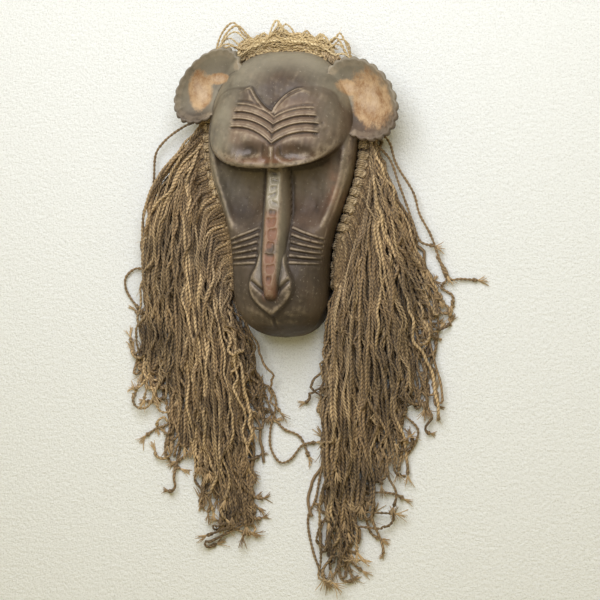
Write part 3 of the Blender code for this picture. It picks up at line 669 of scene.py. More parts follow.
# Materials
def wood_material():
    """Old dark wood: dust and painted light on broad places, grime and painted shade in the cuts, wear and
    painted highlights on the edges, bare wood in the ears.
    """
    material, tree, shader = new_material("worn_dark_wood")
    blotch = noise(tree, 22, 5)
    fleck = noise(tree, 160, 4, 0.7)
    grain = noise(tree, 90, stretch=(1.0, 0.12, 1.0))
    colour = mix(tree, ramp(tree, blotch, 0.3, 0.7), linear(58, 49, 40), linear(93, 79, 64))
    colour = coat(tree, colour, ramp(tree, noise(tree, 9), 0.5, 0.65), 0.45, (92, 66, 50))
    colour = coat(tree, colour, ramp(tree, grain, 0.45, 0.7), 0.5, (50, 40, 32))
    patterns = {"patch": noise(tree, 60), "blotch": blotch, "fleck": fleck}
    for zone, pattern, low, high, strength, tone in WOOD_COATS:
        broken = times(tree, attribute(tree, zone), ramp(tree, patterns[pattern], low, high))
        colour = coat(tree, colour, broken, strength, tone)
    colour = coat(tree, colour, ramp(tree, noise(tree, 420, 2, 0.5), 0.64, 0.74), 0.4, (160, 148, 128))
    edge = noise(tree, 75, 8, 0.8, (1, 0.6, 1))
    ragged = math_node(tree, "ADD", attribute(tree, "ochre"), times(tree, edge, 1.3))
    bare = ramp(tree, ragged, 1.0, 1.36)
    streaks = noise(tree, 110, 7, 0.8, (0.8, 0.55, 1))
    ochre = mix(tree, ramp(tree, streaks, 0.32, 0.66), linear(138, 100, 64), linear(192, 161, 123))
    ochre = coat(tree, ochre, ramp(tree, ragged, 1.4, 1.75), 0.3, (222, 202, 178))
    colour = mix(tree, bare, colour, ochre)
    hollow = attribute(tree, "hollow")
    raw = mix(tree, ramp(tree, grain, 0.35, 0.65), linear(104, 80, 58), linear(132, 104, 76))
    put(tree, shader.inputs["Base Color"], mix(tree, hollow, colour, raw))
    rough = math_node(tree, "SUBTRACT", 0.54, times(tree, attribute(tree, "polish"), 0.32))
    rough = math_node(tree, "ADD", rough, times(tree, ramp(tree, fleck, 0.3, 0.7), 0.12))
    dull = times(tree, math_node(tree, "MAXIMUM", bare, hollow), 0.3)
    put(tree, shader.inputs["Roughness"], math_node(tree, "ADD", rough, dull, clamp=True))
    shader.inputs["Specular IOR Level"].default_value = 0.55
    shader.inputs["Specular Tint"].default_value = (1.0, 0.86, 0.76, 1)
    soft = bump(tree, noise(tree, 55, 3, 0.5), 0.9 * mm, 0.4)
    fibres = bump(tree, grain, 0.3 * mm, 0.6, soft)
    put(tree, shader.inputs["Normal"], bump(tree, fleck, 0.2 * mm, 0.7, fibres))
    return material


def fibre_material(name, tones):
    """Twisted plant fibre: each cord its own shade, painted shade between the plies, fine hairs along the
    twist.
    """
    light, middle, dark = (linear(*tone) for tone in tones)
    material, tree, shader = new_material(name)
    hairs = noise(tree, 900, 3, 0.7)
    shade = attribute(tree, "shade")
    turn = times(tree, attribute(tree, "along"), 2 * math.tau * mm / CORD_PITCH)
    ply = times(tree, attribute(tree, "ply_sin"), math_node(tree, "COSINE", turn))
    ply = math_node(tree, "ADD", ply, times(tree, attribute(tree, "ply_cos"), math_node(tree, "SINE", turn)))
    ply = times(tree, ramp(tree, ply, -0.1, 0.9), attribute(tree, "plain"))
    # Painted shade between the plies, on the modelled grooves and on the plies painted onto plain cords.
    between_plies = math_node(tree, "MAXIMUM", attribute(tree, "groove"), ply)
    colour = mix(tree, ramp(tree, shade, 0.0, 0.4), mix(tree, 0.5, dark, middle), middle)
    colour = mix(tree, ramp(tree, shade, 0.4, 1.0), colour, light)
    colour = coat(tree, colour, ramp(tree, noise(tree, 16, 3), 0.45, 0.7), 0.25, (126, 116, 96))
    darkened = times(tree, ramp(tree, noise(tree, 34), 0.35, 0.73), attribute(tree, "age"))
    colour = mix(tree, darkened, colour, dark)
    colour = mix(tree, times(tree, ramp(tree, hairs, 0.4, 0.75), 0.45), colour, light)
    put(tree, shader.inputs["Base Color"], mix(tree, times(tree, between_plies, 0.7), colour, dark))
    shader.inputs["Roughness"].default_value = 0.88
    shader.inputs["Specular IOR Level"].default_value = 0.22
    shader.inputs["Sheen Weight"].default_value = 0.12
    sunk = bump(tree, times(tree, ply, -1.0), 0.5 * mm, 0.8)
    put(tree, shader.inputs["Normal"], bump(tree, hairs, 0.35 * mm, 0.7, sunk))
    return material


def plaster_material():
    """Pale plaster with a fine grain."""
    material, tree, shader = new_material("pale_plaster")
    cloudy = ramp(tree, noise(tree, 1.2, 2, 0.5), 0.3, 0.7)
    pale = mix(tree, cloudy, linear(250, 249, 243), linear(253, 252, 247))
    pale = coat(tree, pale, ramp(tree, noise(tree, 700, 3, 0.7), 0.5, 0.66), 0.4, (192, 187, 174))
    put(tree, shader.inputs["Base Color"], pale)
    shader.inputs["Roughness"].default_value = 0.9
    put(tree, shader.inputs["Normal"], bump(tree, noise(tree, 300, 5, 0.75), 2.6 * mm, 0.85))
    return material


# Wood
def carving_rows(count):
    """Heights of the mesh's rows, closer together on the brow, the snout's ribs and both ends."""
    y = np.linspace(-GRID_END_Y, GRID_END_Y, 2000)
    ends = 1.5 * ease(110, 126, np.abs(y))
    total = np.cumsum(1 + 1.3 * hill(y - 48, 28) ** 2 + 1.3 * hill(y + 48, 20) ** 2 + ends)
    return np.interp(np.linspace(total[0], total[-1], count), total, y)


def carving_grid(columns, rows):
    """(x, y) of a mesh over the face, its rows bent along the brow lines and the ribs of the muzzle."""
    y0 = carving_rows(rows)[:, None]
    s = np.linspace(-1, 1, columns)[None, :]
    share = 0.6 * s + 0.4 * np.sin(s * math.pi / 2)
    a = np.abs(share) * half_width(y0)
    brow_bend = ease(20, 42, y0) * ease(100, 68, y0) * ease(66, 40, a)
    y = y0 + brow_bend * chevron_rise(share * half_width(y0))
    y = y - RIB_SLOPE * np.maximum(a - RIB_BEND_X, 0) * ease(-74, -36, y0) * ease(-8, -28, y0)
    y = y + np.sign(y0) * 0.8 * ease(122, GRID_END_Y, np.abs(y0)) * (1 - s**2)
    return share * half_width(y), y


def head_solid():
    """The carved face on a solid block, with upright side walls down to the floor."""
    x, y = carving_grid(FACE_COLUMNS, FACE_ROWS)
    points = list(face_point(x, y).reshape(-1, 3))
    grid = np.arange(len(points)).reshape(x.shape)
    corners = [grid[:-1, :-1], grid[:-1, 1:], grid[1:, 1:], grid[1:, :-1]]
    faces = list(np.stack(corners, axis=-1).reshape(-1, 4))
    border = [*grid[0], *grid[1:, -1], *grid[-1, -2::-1], *grid[-2:0:-1, 0]]
    foot = len(points)
    points += [(*points[k][:2], 0.0) for k in border]
    points.append((*BACK_MIDDLE, 0.0))
    for i, k in enumerate(border):
        following = (i + 1) % len(border)
        faces.append((foot + i, foot + following, border[following], k))
        faces.append((foot + following, foot + i, len(points) - 1))
    head = new_object("carved_mask", points, faces)
    facing_out(head)
    return head


def cavity():
    """The hollow behind the face, a wall's thickness inside it."""
    ring = face_outline(CAVITY_RAYS, RIM_WIDTH)
    rings = [np.column_stack([ring, np.full(len(ring), -CAVITY_OPENING)])]
    for t in np.linspace(1, 0, CAVITY_RINGS, endpoint=False):
        share = math.sin(t * math.pi / 2)
        flat = BACK_MIDDLE + share * (ring - BACK_MIDDLE)
        y = flat[:, 1] / SCALE[1]
        crown = curve(CROWN, y) - 9 * ease(-45, -20, y) * ease(65, 40, y)
        height = crown * SCALE[2] - WALL
        rings.append(np.column_stack([flat, height * (1 - share**4) ** 0.5 + 8 * mm * share**4]))
    return ringed_solid("cavity_cutter", rings)


def ear(side):
    """A cupped ear with a scalloped edge, as a closed dish that clears the rope behind it."""
    cx, cy, half_w, half_h, lean = EARS[side]
    outward = -1 if side == "left" else 1
    angle = round_angles(EAR_RAYS)
    scallop = 1 + EAR_SCALLOP_DEPTH * np.abs(np.sin(angle * EAR_SCALLOPS / 2))
    turn = math.radians(lean) * outward
    lift = ROPE_RISE + ROPE_RADIUS + EAR_CLEARANCE + EAR_TILT * half_w * SCALE[0]

    def ring(share, rise):
        u = half_w * share * scallop**(share**8) * np.cos(angle)
        v = half_h * share * scallop**(share**8) * np.sin(angle)
        x = u * math.cos(turn) - v * math.sin(turn)
        y = u * math.sin(turn) + v * math.cos(turn)
        z = lift + rise + EAR_TILT * outward * x * SCALE[0]
        return np.column_stack([(cx + x) * SCALE[0], (cy + y) * SCALE[1], z])

    def cup(share):
        return EAR_CUP * share**2.4

    shares = np.linspace(0, 1, EAR_RINGS + 1)[1:]
    behind = [ring(s, 0.8 * cup(s)) for s in shares]
    edge = [ring(1.03, 0.8 * cup(1) + 0.5 * EAR_THICKNESS)]
    front = [ring(s, EAR_THICKNESS + cup(s)) for s in shares[::-1]]
    return ringed_solid(f"ear_{side}_form", behind + edge + front)


def spread(values, edges, rounds):
    """Averages a value, or a point, over the mesh's neighbours a number of times."""
    count = len(values)
    degree = np.bincount(edges.ravel(), minlength=count)[:, None]
    values = values.reshape(count, -1).copy()
    for _ in range(rounds):
        total = np.empty_like(values)
        for k in range(values.shape[1]):
            sums = np.bincount(edges[:, 0], values[edges[:, 1], k], count)
            total[:, k] = sums + np.bincount(edges[:, 1], values[edges[:, 0], k], count)
        values = 0.5 * values + 0.5 * total / np.maximum(degree, 1)
    return values


def mask_zones(mesh):
    """Marks where the wood is dusty, worn, dirty, polished, reddish or bare, and where light, highlights and
    shade are painted on, from the carving itself.
    """
    at, normal = vertex_vectors(mesh, "co"), vertex_vectors(mesh, "normal")
    edges = np.empty(len(mesh.edges) * 2, int)
    mesh.edges.foreach_get("vertices", edges)
    bulge = ((at - spread(at, edges.reshape(-1, 2), SMOOTHING_ROUNDS)) * normal).sum(axis=1) / mm
    x, y, z = (at / SCALE).T
    a = np.abs(x)
    rim_x = half_width(y)

    on_brow = ease(-1, 2, depth_inside(x, y, brow_outline(BROW_POINTS // 2))) * ease(40, 50, z)
    above = 1 - on_brow
    front = np.maximum(ease(0.3, 0.6, normal[:, 2]), 0.45 * ease(-10, 20, y))
    lines = on_brow * ease(40, 34, a) * ease(38, 46, y) * ease(82, 72, y)
    lip = on_brow * hill(y - 21, 7)
    on_band = ease(8, 5.5, a) * ease(-98, -88, y) * ease(20, 14, y)
    upper = ease(-22, -8, y)
    # Painted highlights on the upper part of the nose band.
    band_highlight = on_band * upper
    on_ear = ease(0, 4, a - rim_x)
    rim = ease(4, 0, np.abs(rim_x - 5 - a)) * ease(-40, -10, y) * front
    middle = hill(x - 9, 32) * hill(y - 90, 24)

    # Dust on the left brow and in the brow lines, and painted light on the places marked below.
    dust_and_painted_light = np.maximum.reduce([
        on_brow * ease(22, 48, a) * ease(24, 42, y) * np.where(x < 0, 0.75, 0.22),
        0.24 * lines,
        # painted light on the lit ledge inside the right rim
        0.3 * hill(x - 51, 5) * ease(-32, -8, y) * ease(40, 20, y),
        # dust and a painted sheen round the top of the head
        0.92 * above * ease(66, 84, y) * (1 - 1.25 * middle).clip(0) * (1 - 0.3 * on_ear),
        # dust and painted highlights along the rims
        np.where(x < 0, 0.45, 0.3) * rim,
        # dust and painted light on the cheeks below the brow
        0.34 * above * ease(30, 18, y) * ease(-16, 8, y),
        # painted light on the nose's flanks
        0.45 * hill(a - 9, 3.5) * ease(-92, -70, y) * ease(18, 8, y),
        # painted highlights on the upper nose band
        band_highlight,
    ])
    red = lip * (0.75 + 0.25 * hill(x + 48, 16)) + 0.9 * hill(x - 50, 6) * ease(-25, 0, y) * ease(30, 10, y)
    red = np.maximum.reduce([red, 0.3 * lines, 0.85 * on_band * ease(-12, -24, y)])
    polish = on_brow * hill(y - 30, 9) + on_band * (0.1 + 0.9 * upper)
    polish = np.maximum.reduce([polish, 0.7 * hill(a - 13, 7) * hill(y + 80, 12), 0.3 * middle])
    # Painted shade in the eye hollows below the brow lines; darker also at the low snout and the middle of
    # the top of the head.
    dark = hill(x + 16, 13) * hill(y - 40, 6) + hill(x - 24, 18) * hill(y - 37, 6)
    dark = np.maximum.reduce([0.5 * dark * on_brow, 0.3 * ease(-54, -70, y) * above, 0.5 * middle * above])
    # Where grime and painted shade are held back, as painted light: by the right rim and on the cheeks' step.
    lit = np.maximum(ease(42, 48, x) * ease(-30, -10, y), 0.8 * above * hill(y + 18, 9) * ease(14, 20, a))
    # Pale wear on raised edges, strongest on the brow lines, where it is partly a painted highlight on their
    # ridges.
    wear_and_highlight = ease(0.05, 0.5, bulge) * (1 + 0.3 * lines - 0.5 * on_band - 0.25 * band_highlight)
    wear_and_highlight = wear_and_highlight * (1 - 0.7 * lip) * (1 - 0.6 * on_ear) * front
    # Painted highlights on the crest of the brow's lower lip below the eyes and on the nostril wings.
    painted_highlight = on_brow * hill(y - 31, 2.6) * ease(6, 10, a) * ease(38, 30, a)
    painted_highlight = np.maximum(painted_highlight, 0.6 * hill(a - 13, 3) * hill(y + 77, 6))

    # Grime and painted shade gather where the wood curves inwards and in the dark places.
    zones = {
        "wear_and_highlight": np.maximum(wear_and_highlight, 0.8 * painted_highlight),
        "grime_and_shade": np.maximum(ease(-0.08, -0.55, bulge) * (1 - 0.8 * lit), np.clip(dark, 0, 1) * 0.6),
        "dust_and_painted_light": dust_and_painted_light,
        "red": np.clip(red, 0, 1),
        "polish": np.clip(polish, 0, 1),
        "ochre": bare_patches(x, y) * (a > 47) * (z > 22) * (normal[:, 2] > 0.2),
        "hollow": in_hollow(x, y, z, normal).astype(float),
    }
    for name, values in zones.items():
        set_attribute(mesh, name, values)


def bare_patches(x, y):
    """How far inside the ears' bare patches a point is: 1 in the middle, a half on the edge."""
    inside = np.zeros_like(x)
    for cx, cy, half_w, half_h, lean in BARE_PATCHES:
        turn = math.radians(lean)
        u = (x - cx) * math.cos(turn) + (y - cy) * math.sin(turn)
        v = -(x - cx) * math.sin(turn) + (y - cy) * math.cos(turn)
        inside = np.maximum(inside, 1 - 0.5 * np.hypot(u / half_w, v / half_h) ** 2)
    return inside


def in_hollow(x, y, z, normal):
    """Whether a point is on the raw wood behind the face, which looks down or towards the middle."""
    rim_x = half_width(y)
    deep = (np.abs(x) < rim_x - 2) & (z < bare_head(x, y) - 5)
    inwards = -(x * normal[:, 0] + (y - BACK_MIDDLE[1] / mm) * normal[:, 1]) * (np.abs(x) < rim_x - 6)
    return deep & ((normal[:, 2] < -0.1) | ((normal[:, 2] < 0.35) & (inwards > 0)))


def carved_mask():
    """Face and ears from one piece of wood, hollow behind."""
    head = head_solid()
    ears = [ear("left"), ear("right")]
    for other in ears:
        boolean(head, "UNION", other)
    hollow = cavity()
    boolean(head, "DIFFERENCE", hollow)
    apply_modifiers(head, [*ears, hollow])
    mask_zones(head.data)
    head.data.transform(Matrix.Translation(PLACE))
    dressed(head, wood_material(), "mask")


# Cords
class Bundle:
    """Collects the points and faces of many cords for one mesh."""

    def __init__(self):
        self.points, self.quads, self.count = [], [], 0
        self.values = {key: [] for key in ("shade", "groove", "age", "along", "ply_cos", "ply_sin", "plain")}

    def add(self, rings, **values):
        """Rings is an array of stations by sides by 3. Each value fits that shape or spreads to it."""
        stations, sides = rings.shape[:2]
        self.points.append(rings.reshape(-1, 3))
        self.quads.append(quads_between(stations, sides, self.count))
        for key, held in self.values.items():
            held.append(np.broadcast_to(values.get(key, 0.0), (stations, sides)).ravel())
        self.count += stations * sides

    def make(self, name, material, slot, replaced):
        obj = new_object(name, np.vstack(self.points) + PLACE, np.vstack(self.quads))
        for key, held in self.values.items():
            set_attribute(obj.data, key, np.concatenate(held))
        dressed(obj, material, replaced)


def unit(vectors):
    """Each vector with a length of 1, or the one vector given."""
    length = np.linalg.norm(vectors, axis=-1, keepdims=True)
    return vectors / np.maximum(length, 1e-9)


def framed(path):
    """Two directions across the path at each of its points."""
    along = unit(np.gradient(path, axis=0))
    across = unit(np.cross(along, [0.0, 0.0, 1.0]))
    return across, np.cross(across, along)


def tube(path, across, rise, turn, girth):
    """Rings of points round the path, each side at its angle, turn, and its distance, girth."""
    turn, girth = np.asarray(turn)[..., None], np.asarray(girth)[..., None]
    return path[:, None, :] + girth * (np.cos(turn) * across[:, None, :] + np.sin(turn) * rise[:, None, :])


def path_length(path):
    return np.linalg.norm(np.diff(path, axis=0), axis=1).sum()


def shade_of(value):
    """A shade kept between the darkest, 0, and the lightest, 1."""
    return float(np.clip(value, 0, 1))


def add_cord(bundle, path, radius, shade, age, knot=0.0, spun=True):
    """One two-ply cord along the path, in metres: its plies modelled when spun, painted on otherwise.

    A knot swells its end. No cord dips into the floor.
    """
    length = path_length(path)
    stations = max(int(length / (SPUN_CORD_STEP if spun else PLAIN_CORD_STEP)), 6)
    path = even(path, stations)
    across, rise = framed(path)
    s = np.linspace(0, length, stations)
    if spun:
        local, swell = np.radians([c[0] for c in CORD_SIDES]), np.array([c[1] for c in CORD_SIDES])
    else:
        local, swell = round_angles(6), np.ones(6)
    twist = math.tau * s / CORD_PITCH + dice.uniform(0, 6)
    turn = local[None, :] + (twist * spun)[:, None]
    girth = radius * (1 + knot * hill(s - length + 3.5 * mm, 2.2 * mm))
    girth = girth * np.clip(np.minimum(s, length - s) / radius, 0, 1) ** 0.5 + 0.01 * mm
    girth = girth * (1 + 0.09 * np.sin(s / (17 * mm) * math.tau + shade * 40))
    path[:, 2] = np.maximum(path[:, 2], 1.13 * girth)
    rings = tube(path, across, rise, turn, girth[:, None] * swell[None, :])
    darkenings = np.interp(s / length, np.linspace(0, 1, np.size(age)), np.atleast_1d(age))
    # Groove marks the narrow sides between the plies, for painted shade there.
    bundle.add(
        rings, shade=shade, age=darkenings[:, None], groove=np.where(swell > 1, 0.0, 0.8) * spun,
        along=(s / mm)[:, None], ply_cos=np.cos(2 * local), ply_sin=np.sin(2 * local), plain=1.0 - spun,
    )


def add_plain(bundle, path, radius, shade, sides, age, taper):
    """A plain round strand that thins towards its end."""
    girth = radius * (1 - taper * np.linspace(0, 1, len(path)) ** 1.5)
    rings = tube(path, *framed(path), round_angles(sides)[None, :], girth[:, None])
    bundle.add(rings, shade=shade, groove=0.15, age=age)


def add_tuft(bundle, path, shade, length=TUFT_LENGTH):
    """A brush of frayed fibres below the knot that ends a cord."""
    end = path[-1]
    ahead = unit(path[-1] - path[max(len(path) - 4, 0)])
    aside = np.cross(ahead, [0, 0, 1.0])
    for _ in range(TUFT_HAIRS):
        reach = length * dice.uniform(0.5, 1.1)
        way = ahead + aside * dice.normal(0, 0.26)
        bend = aside * dice.normal(0, 0.22)
        t = np.linspace(0, 1, 4)[:, None]
        line = end - 1.2 * mm * ahead + reach * t * (way + bend * t)
        line[:, 2] = np.maximum(end[2] + (dice.uniform(-0.16, 0.22) * reach) * t[:, 0], 0.7 * mm)
        hair_shade = shade_of(shade + dice.uniform(0, 0.5))
        add_plain(bundle, line, dice.uniform(0.4, 0.7) * mm, hair_shade, 3, 0.15, 0.5)


def add_fuzz(bundle, path, shade, count):
    """Fibre ends that stand off a cord."""
    for _ in range(count):
        k = dice.integers(2, len(path) - 2)
        ahead = unit(path[k + 1] - path[k - 1])
        off = dice.normal(0, 0.5, 3) + [0, 0, 0.25]
        t = np.linspace(0, 1, 4)[:, None]
        line = path[k] + dice.uniform(4, 10) * mm * t * (ahead + off * t)
        line[:, 2] = np.maximum(line[:, 2], 0.5 * mm)
        add_plain(bundle, line, 0.3 * mm, shade, 3, 0.2, 0.7)


# Mane
def over_rope(side, root_y):
    """How far a cord starts on top of the rope rather than outside it: 1 low down, 0 at the ears."""
    return ease(14, -14, root_y) if side < 0 else ease(-26, -48, root_y)


def lock_plan(side, root_y, bend_x, bend_y, tip_x, tip_y):
    """Plan of one lock: it leaves the rope, swings outwards, most on the left, and runs down to its tip."""
    root_x = side * (half_width(np.array([root_y]))[0] + (2 * ROPE_RADIUS + 3 * GAP) / SCALE[0])
    sweep = 3 + 12 * ease(-84, -44, root_y) * ease(78, 40, root_y) * (side < 0)
    start_x = root_x - side * (2.5 + 4.5 * over_rope(side, root_y))
    root_x = root_x - 6 * over_rope(side, root_y) * (side > 0)
    out = (root_x + side * 0.75 * sweep, root_y - 8)
    down = (root_x + side * sweep, root_y - 24)
    low = (0.4 * bend_x + 0.6 * tip_x, 0.4 * bend_y + 0.6 * tip_y)
    route = [(start_x, root_y + 1.5), (root_x, root_y - 1), out, down, (bend_x, bend_y), low, (tip_x, tip_y)]
    return smooth_path(route, LOCK_POINTS) * SCALE[:2]


def between_locks(lines, at, t):
    """Plan of a cord that lies at the place "at" between two locks, for each share t of the way down."""
    low = np.floor(at).astype(int)
    step = (at - low)[:, None]
    k = np.clip(t, 0, 1) * (lines.shape[1] - 1)
    k0 = np.minimum(k.astype(int), lines.shape[1] - 2)
    part = (k - k0)[:, None]

    def on(line):
        return lines[line, k0] * (1 - part) + lines[line, k0 + 1] * part

    return on(low) * (1 - step) + on(low + 1) * step


def swayed(t, place):
    """How far a cord strays sideways on its way: waves, and a drift and kinks, small at the outer edge."""
    waves = [(dice.uniform(0.8, 2.2), 2.6), (dice.uniform(2.2, 4), 4.0), (dice.uniform(5, 8), 4.0)]
    waves += [(dice.uniform(9, 13), 2.6), (dice.uniform(14, 20), 1.4)]
    lively = 0.6 + 0.45 * np.sin(math.tau * (dice.uniform(0.7, 1.8) * t + dice.random()))
    lively = lively * (1 + 0.45 * ease(0.35, 0.85, t))
    sway = sum(size / math.sqrt(f) * np.sin(math.tau * (f * t + dice.random())) for f, size in waves) * mm
    loose = ease(0.02, 0.16, t)
    firm = 0.35 + 0.65 * ease(0, 2.5, place)
    drift = (dice.normal(0, 2.4 * mm) * loose + dice.normal(0, 4 * mm) * ease(0.5, 1, t)) * firm
    for earliest, size in ((0.1, 3.0), (0.35, 3.6), (0.55, 4.4), (0.75, 4.4)):
        bend_at = dice.uniform(earliest, earliest + 0.25)
        drift = drift + dice.normal(0, size * mm) * firm * ease(bend_at - 0.05, bend_at + 0.05, t)
    return sway * loose * lively + drift


def cord_route(lines, place, layer, reach, crossing=0.0):
    """One cord of the mane, between the middle lines of its nearest locks and drawn into clumps.

    Layer is its height as a share of the mane's depth, and crossing is how many locks it wanders over.
    """
    t = np.linspace(0, reach, lines.shape[1])
    clump = math.tau * (CLUMPS_PER_LOCK * place + 0.30 * np.sin(math.tau * 0.8 * t + 0.9 * place))
    drawn = 0.86 * ease(0.04, 0.3, t) * np.sin(clump) / (math.tau * CLUMPS_PER_LOCK)
    at = place - drawn + crossing * ease(0.15, 0.8, t)
    gather = 1 - 0.45 * ease(0.5, 1.0, t)
    at = np.clip(round(place) + (at - round(place)) * gather, 0, len(lines) - 1.001)
    plan = between_locks(lines, at, t)
    ahead = unit(np.gradient(plan, axis=0))
    aside = np.column_stack([ahead[:, 1], -ahead[:, 0]])
    plan = plan + aside * swayed(t, place)[:, None]
    start = dice.uniform(-6, 6) * mm * ease(0.1, 0.0, t)
    plan = plan + ahead * (np.maximum(t - 1, 0) * 0.28)[:, None] + np.column_stack([0 * start, start])
    thick = MANE_DEPTH * ease(0.02, 0.25, t) * (1 - 0.8 * ease(0.45, 1.0, t)) + 2 * mm
    ripple = 2.2 * mm * np.sin(math.tau * (t * dice.uniform(2, 6) + dice.uniform(0, 1)))
    height = LYING_HEIGHT + (layer - 0.14 * np.cos(clump)) * thick + ripple * ease(0.02, 0.16, t)
    side = math.copysign(1, plan[0, 0])
    over = over_rope(side, plan[0, 1] / SCALE[1])
    root = ROPE_RISE + 1.5 * mm + over * ROPE_RADIUS
    lying_on = 0.1 + 0.15 * over * (side > 0)
    height = height + (root - height) * ease(lying_on, 0.0, t) * (height < root)
    return np.column_stack([plan, np.maximum(height, LYING_HEIGHT)])


def curled(path, turn, radius, run=0.0):
    """The path with its end curled round on the floor, then run straight on for a length."""
    ahead = unit(path[-1, :2] - path[-5, :2])
    aside = np.array([-ahead[1], ahead[0]]) * math.copysign(1, turn)
    angle = np.linspace(0, abs(turn), 14)[1:, None]
    plan = path[-1, :2] + radius * (np.sin(angle) * ahead + (1 - np.cos(angle)) * aside)
    height = path[-1, 2] + (LYING_HEIGHT - path[-1, 2]) * np.linspace(0, 1, 13)
    height = height + 2.6 * mm * np.sin(np.linspace(0, math.pi, 13))
    whole = np.vstack([path, np.column_stack([plan, height])])
    if run:
        on = np.linspace(0, run, 8)[1:, None] * unit(whole[-1] - whole[-2]) + whole[-1]
        on[:, 2] = np.maximum(on[:, 2], LYING_HEIGHT)
        whole = np.vstack([whole, on])
    return whole


def ended(path, place):
    """The cord's path with its end as it lies: doubled back in a narrow loop, curled or straight.

    The outer locks have more curled ends.
    """
    tangle = 0.3 * ease(5, 2, place)
    choice = dice.random()
    way = dice.choice([-1, 1])
    if choice < 0.2:
        return curled(path, math.pi * way, dice.uniform(1.8, 3.2) * mm, dice.uniform(8, 26) * mm)
    if choice < 0.45 + tangle:
        return curled(path, way * dice.uniform(0.5, 2.6 + 3 * tangle), dice.uniform(5, 10) * mm)
    return path


def hidden_cords(lines):
    """The mane's two lower layers: plain cords at the bottom, dark all over as painted shade under the cords
    above, and cords with painted plies and tufts over them.
    """
    under, last = Bundle(), len(lines) - 1
    for k in range(CORDS_UNDER):
        place = (k + 0.5) / CORDS_UNDER * last
        path = even(cord_route(lines, place, dice.uniform(0.0, 0.3), dice.uniform(0.7, 0.93)), 45)
        # The lowest cords are dark all over: painted shade under the cords above them.
        add_plain(under, path, CORD_RADIUS * 1.25, dice.uniform(0, 0.3), 4, 0.95, 0.1)
    for k in dice.permutation(CORDS_BELOW):
        place = np.clip((k + dice.uniform(0, 1)) / CORDS_BELOW * (last + 0.7) - 0.35, 0, last)
        route = cord_route(lines, place, dice.uniform(0.15, 0.75), 1.0 - 0.34 * dice.random() ** 1.4)
        path = ended(route, place)
        shade = shade_of(dice.normal(0.3, 0.25))
        radius = CORD_RADIUS * dice.uniform(0.88, 1.12)
        add_cord(under, path, radius, shade, np.linspace(0.5, 1.0, 8), 0.7, False)
        add_tuft(under, path, shade)
    return under


def shown_cords(lines):
    """The cords on top, in two bundles, every other one with modelled plies. Some wander over the others."""
    bundles, last = [Bundle(), Bundle()], len(lines) - 1
    for n, k in enumerate(dice.permutation(CORDS_SHOWN)):
        bundle = bundles[2 * n // CORDS_SHOWN]
        place = np.clip((k + dice.uniform(0, 1)) / CORDS_SHOWN * (last + 0.8) - 0.4, 0, last)
        crossing = dice.normal(0, 1.2) if dice.random() < 0.35 else 0.0
        layer = dice.uniform(0.92, 1.12) if crossing else dice.uniform(0.45, 1.0)
        path = ended(cord_route(lines, place, layer, 1.02 - 0.36 * dice.random() ** 1.5, crossing), place)
        shade = shade_of(dice.choice(CORD_SHADES, p=SHADE_SHARES) + dice.normal(0, 0.09))
        # Darker towards the end.
        darkenings = np.clip(np.linspace(0.1, 1.0, 8) + dice.normal(0, 0.12), 0, 1)
        add_cord(bundle, path, CORD_RADIUS * dice.uniform(0.84, 1.14), shade, darkenings, 0.75, n % 2 == 0)
        add_tuft(bundle, path, shade)
        add_fuzz(bundle, path, shade, 4)
    return bundles


def single_cords(singles):
    """The cords that stand off by themselves, sinking to half their first height."""
    bundle = Bundle()
    for height, plan in singles:
        ground = height * np.linspace(1, 0.5, len(plan))
        route = smooth_path(np.column_stack([plan, ground]), 60) * mm
        add_cord(bundle, route, CORD_RADIUS * 1.05, 0.55, 0.5, 0.8)
        add_tuft(bundle, route, 0.6, 10 * mm)
    return bundle


def mane(side, name, locks, singles, material):
    """The fringe of cords on one side, -1 for the left and 1 for the right."""
    lines = np.array([lock_plan(side, *lock) for lock in locks])
    bundles = [hidden_cords(lines), *shown_cords(lines), single_cords(singles)]
    for i, bundle in enumerate(bundles):
        bundle.make(f"{name}_cords_{i + 1}", material, "twisted_cord", name)


# Rope and crest
def beside_outline(offset, kept, count):
    """Points on a line outside the face's outline, where kept, from the chin's right round to its left."""
    ring = face_outline(OUTLINE_POINTS, -offset)
    units = ring / SCALE[:2]
    return even(ring[kept(units[:, 0], units[:, 1])], count)


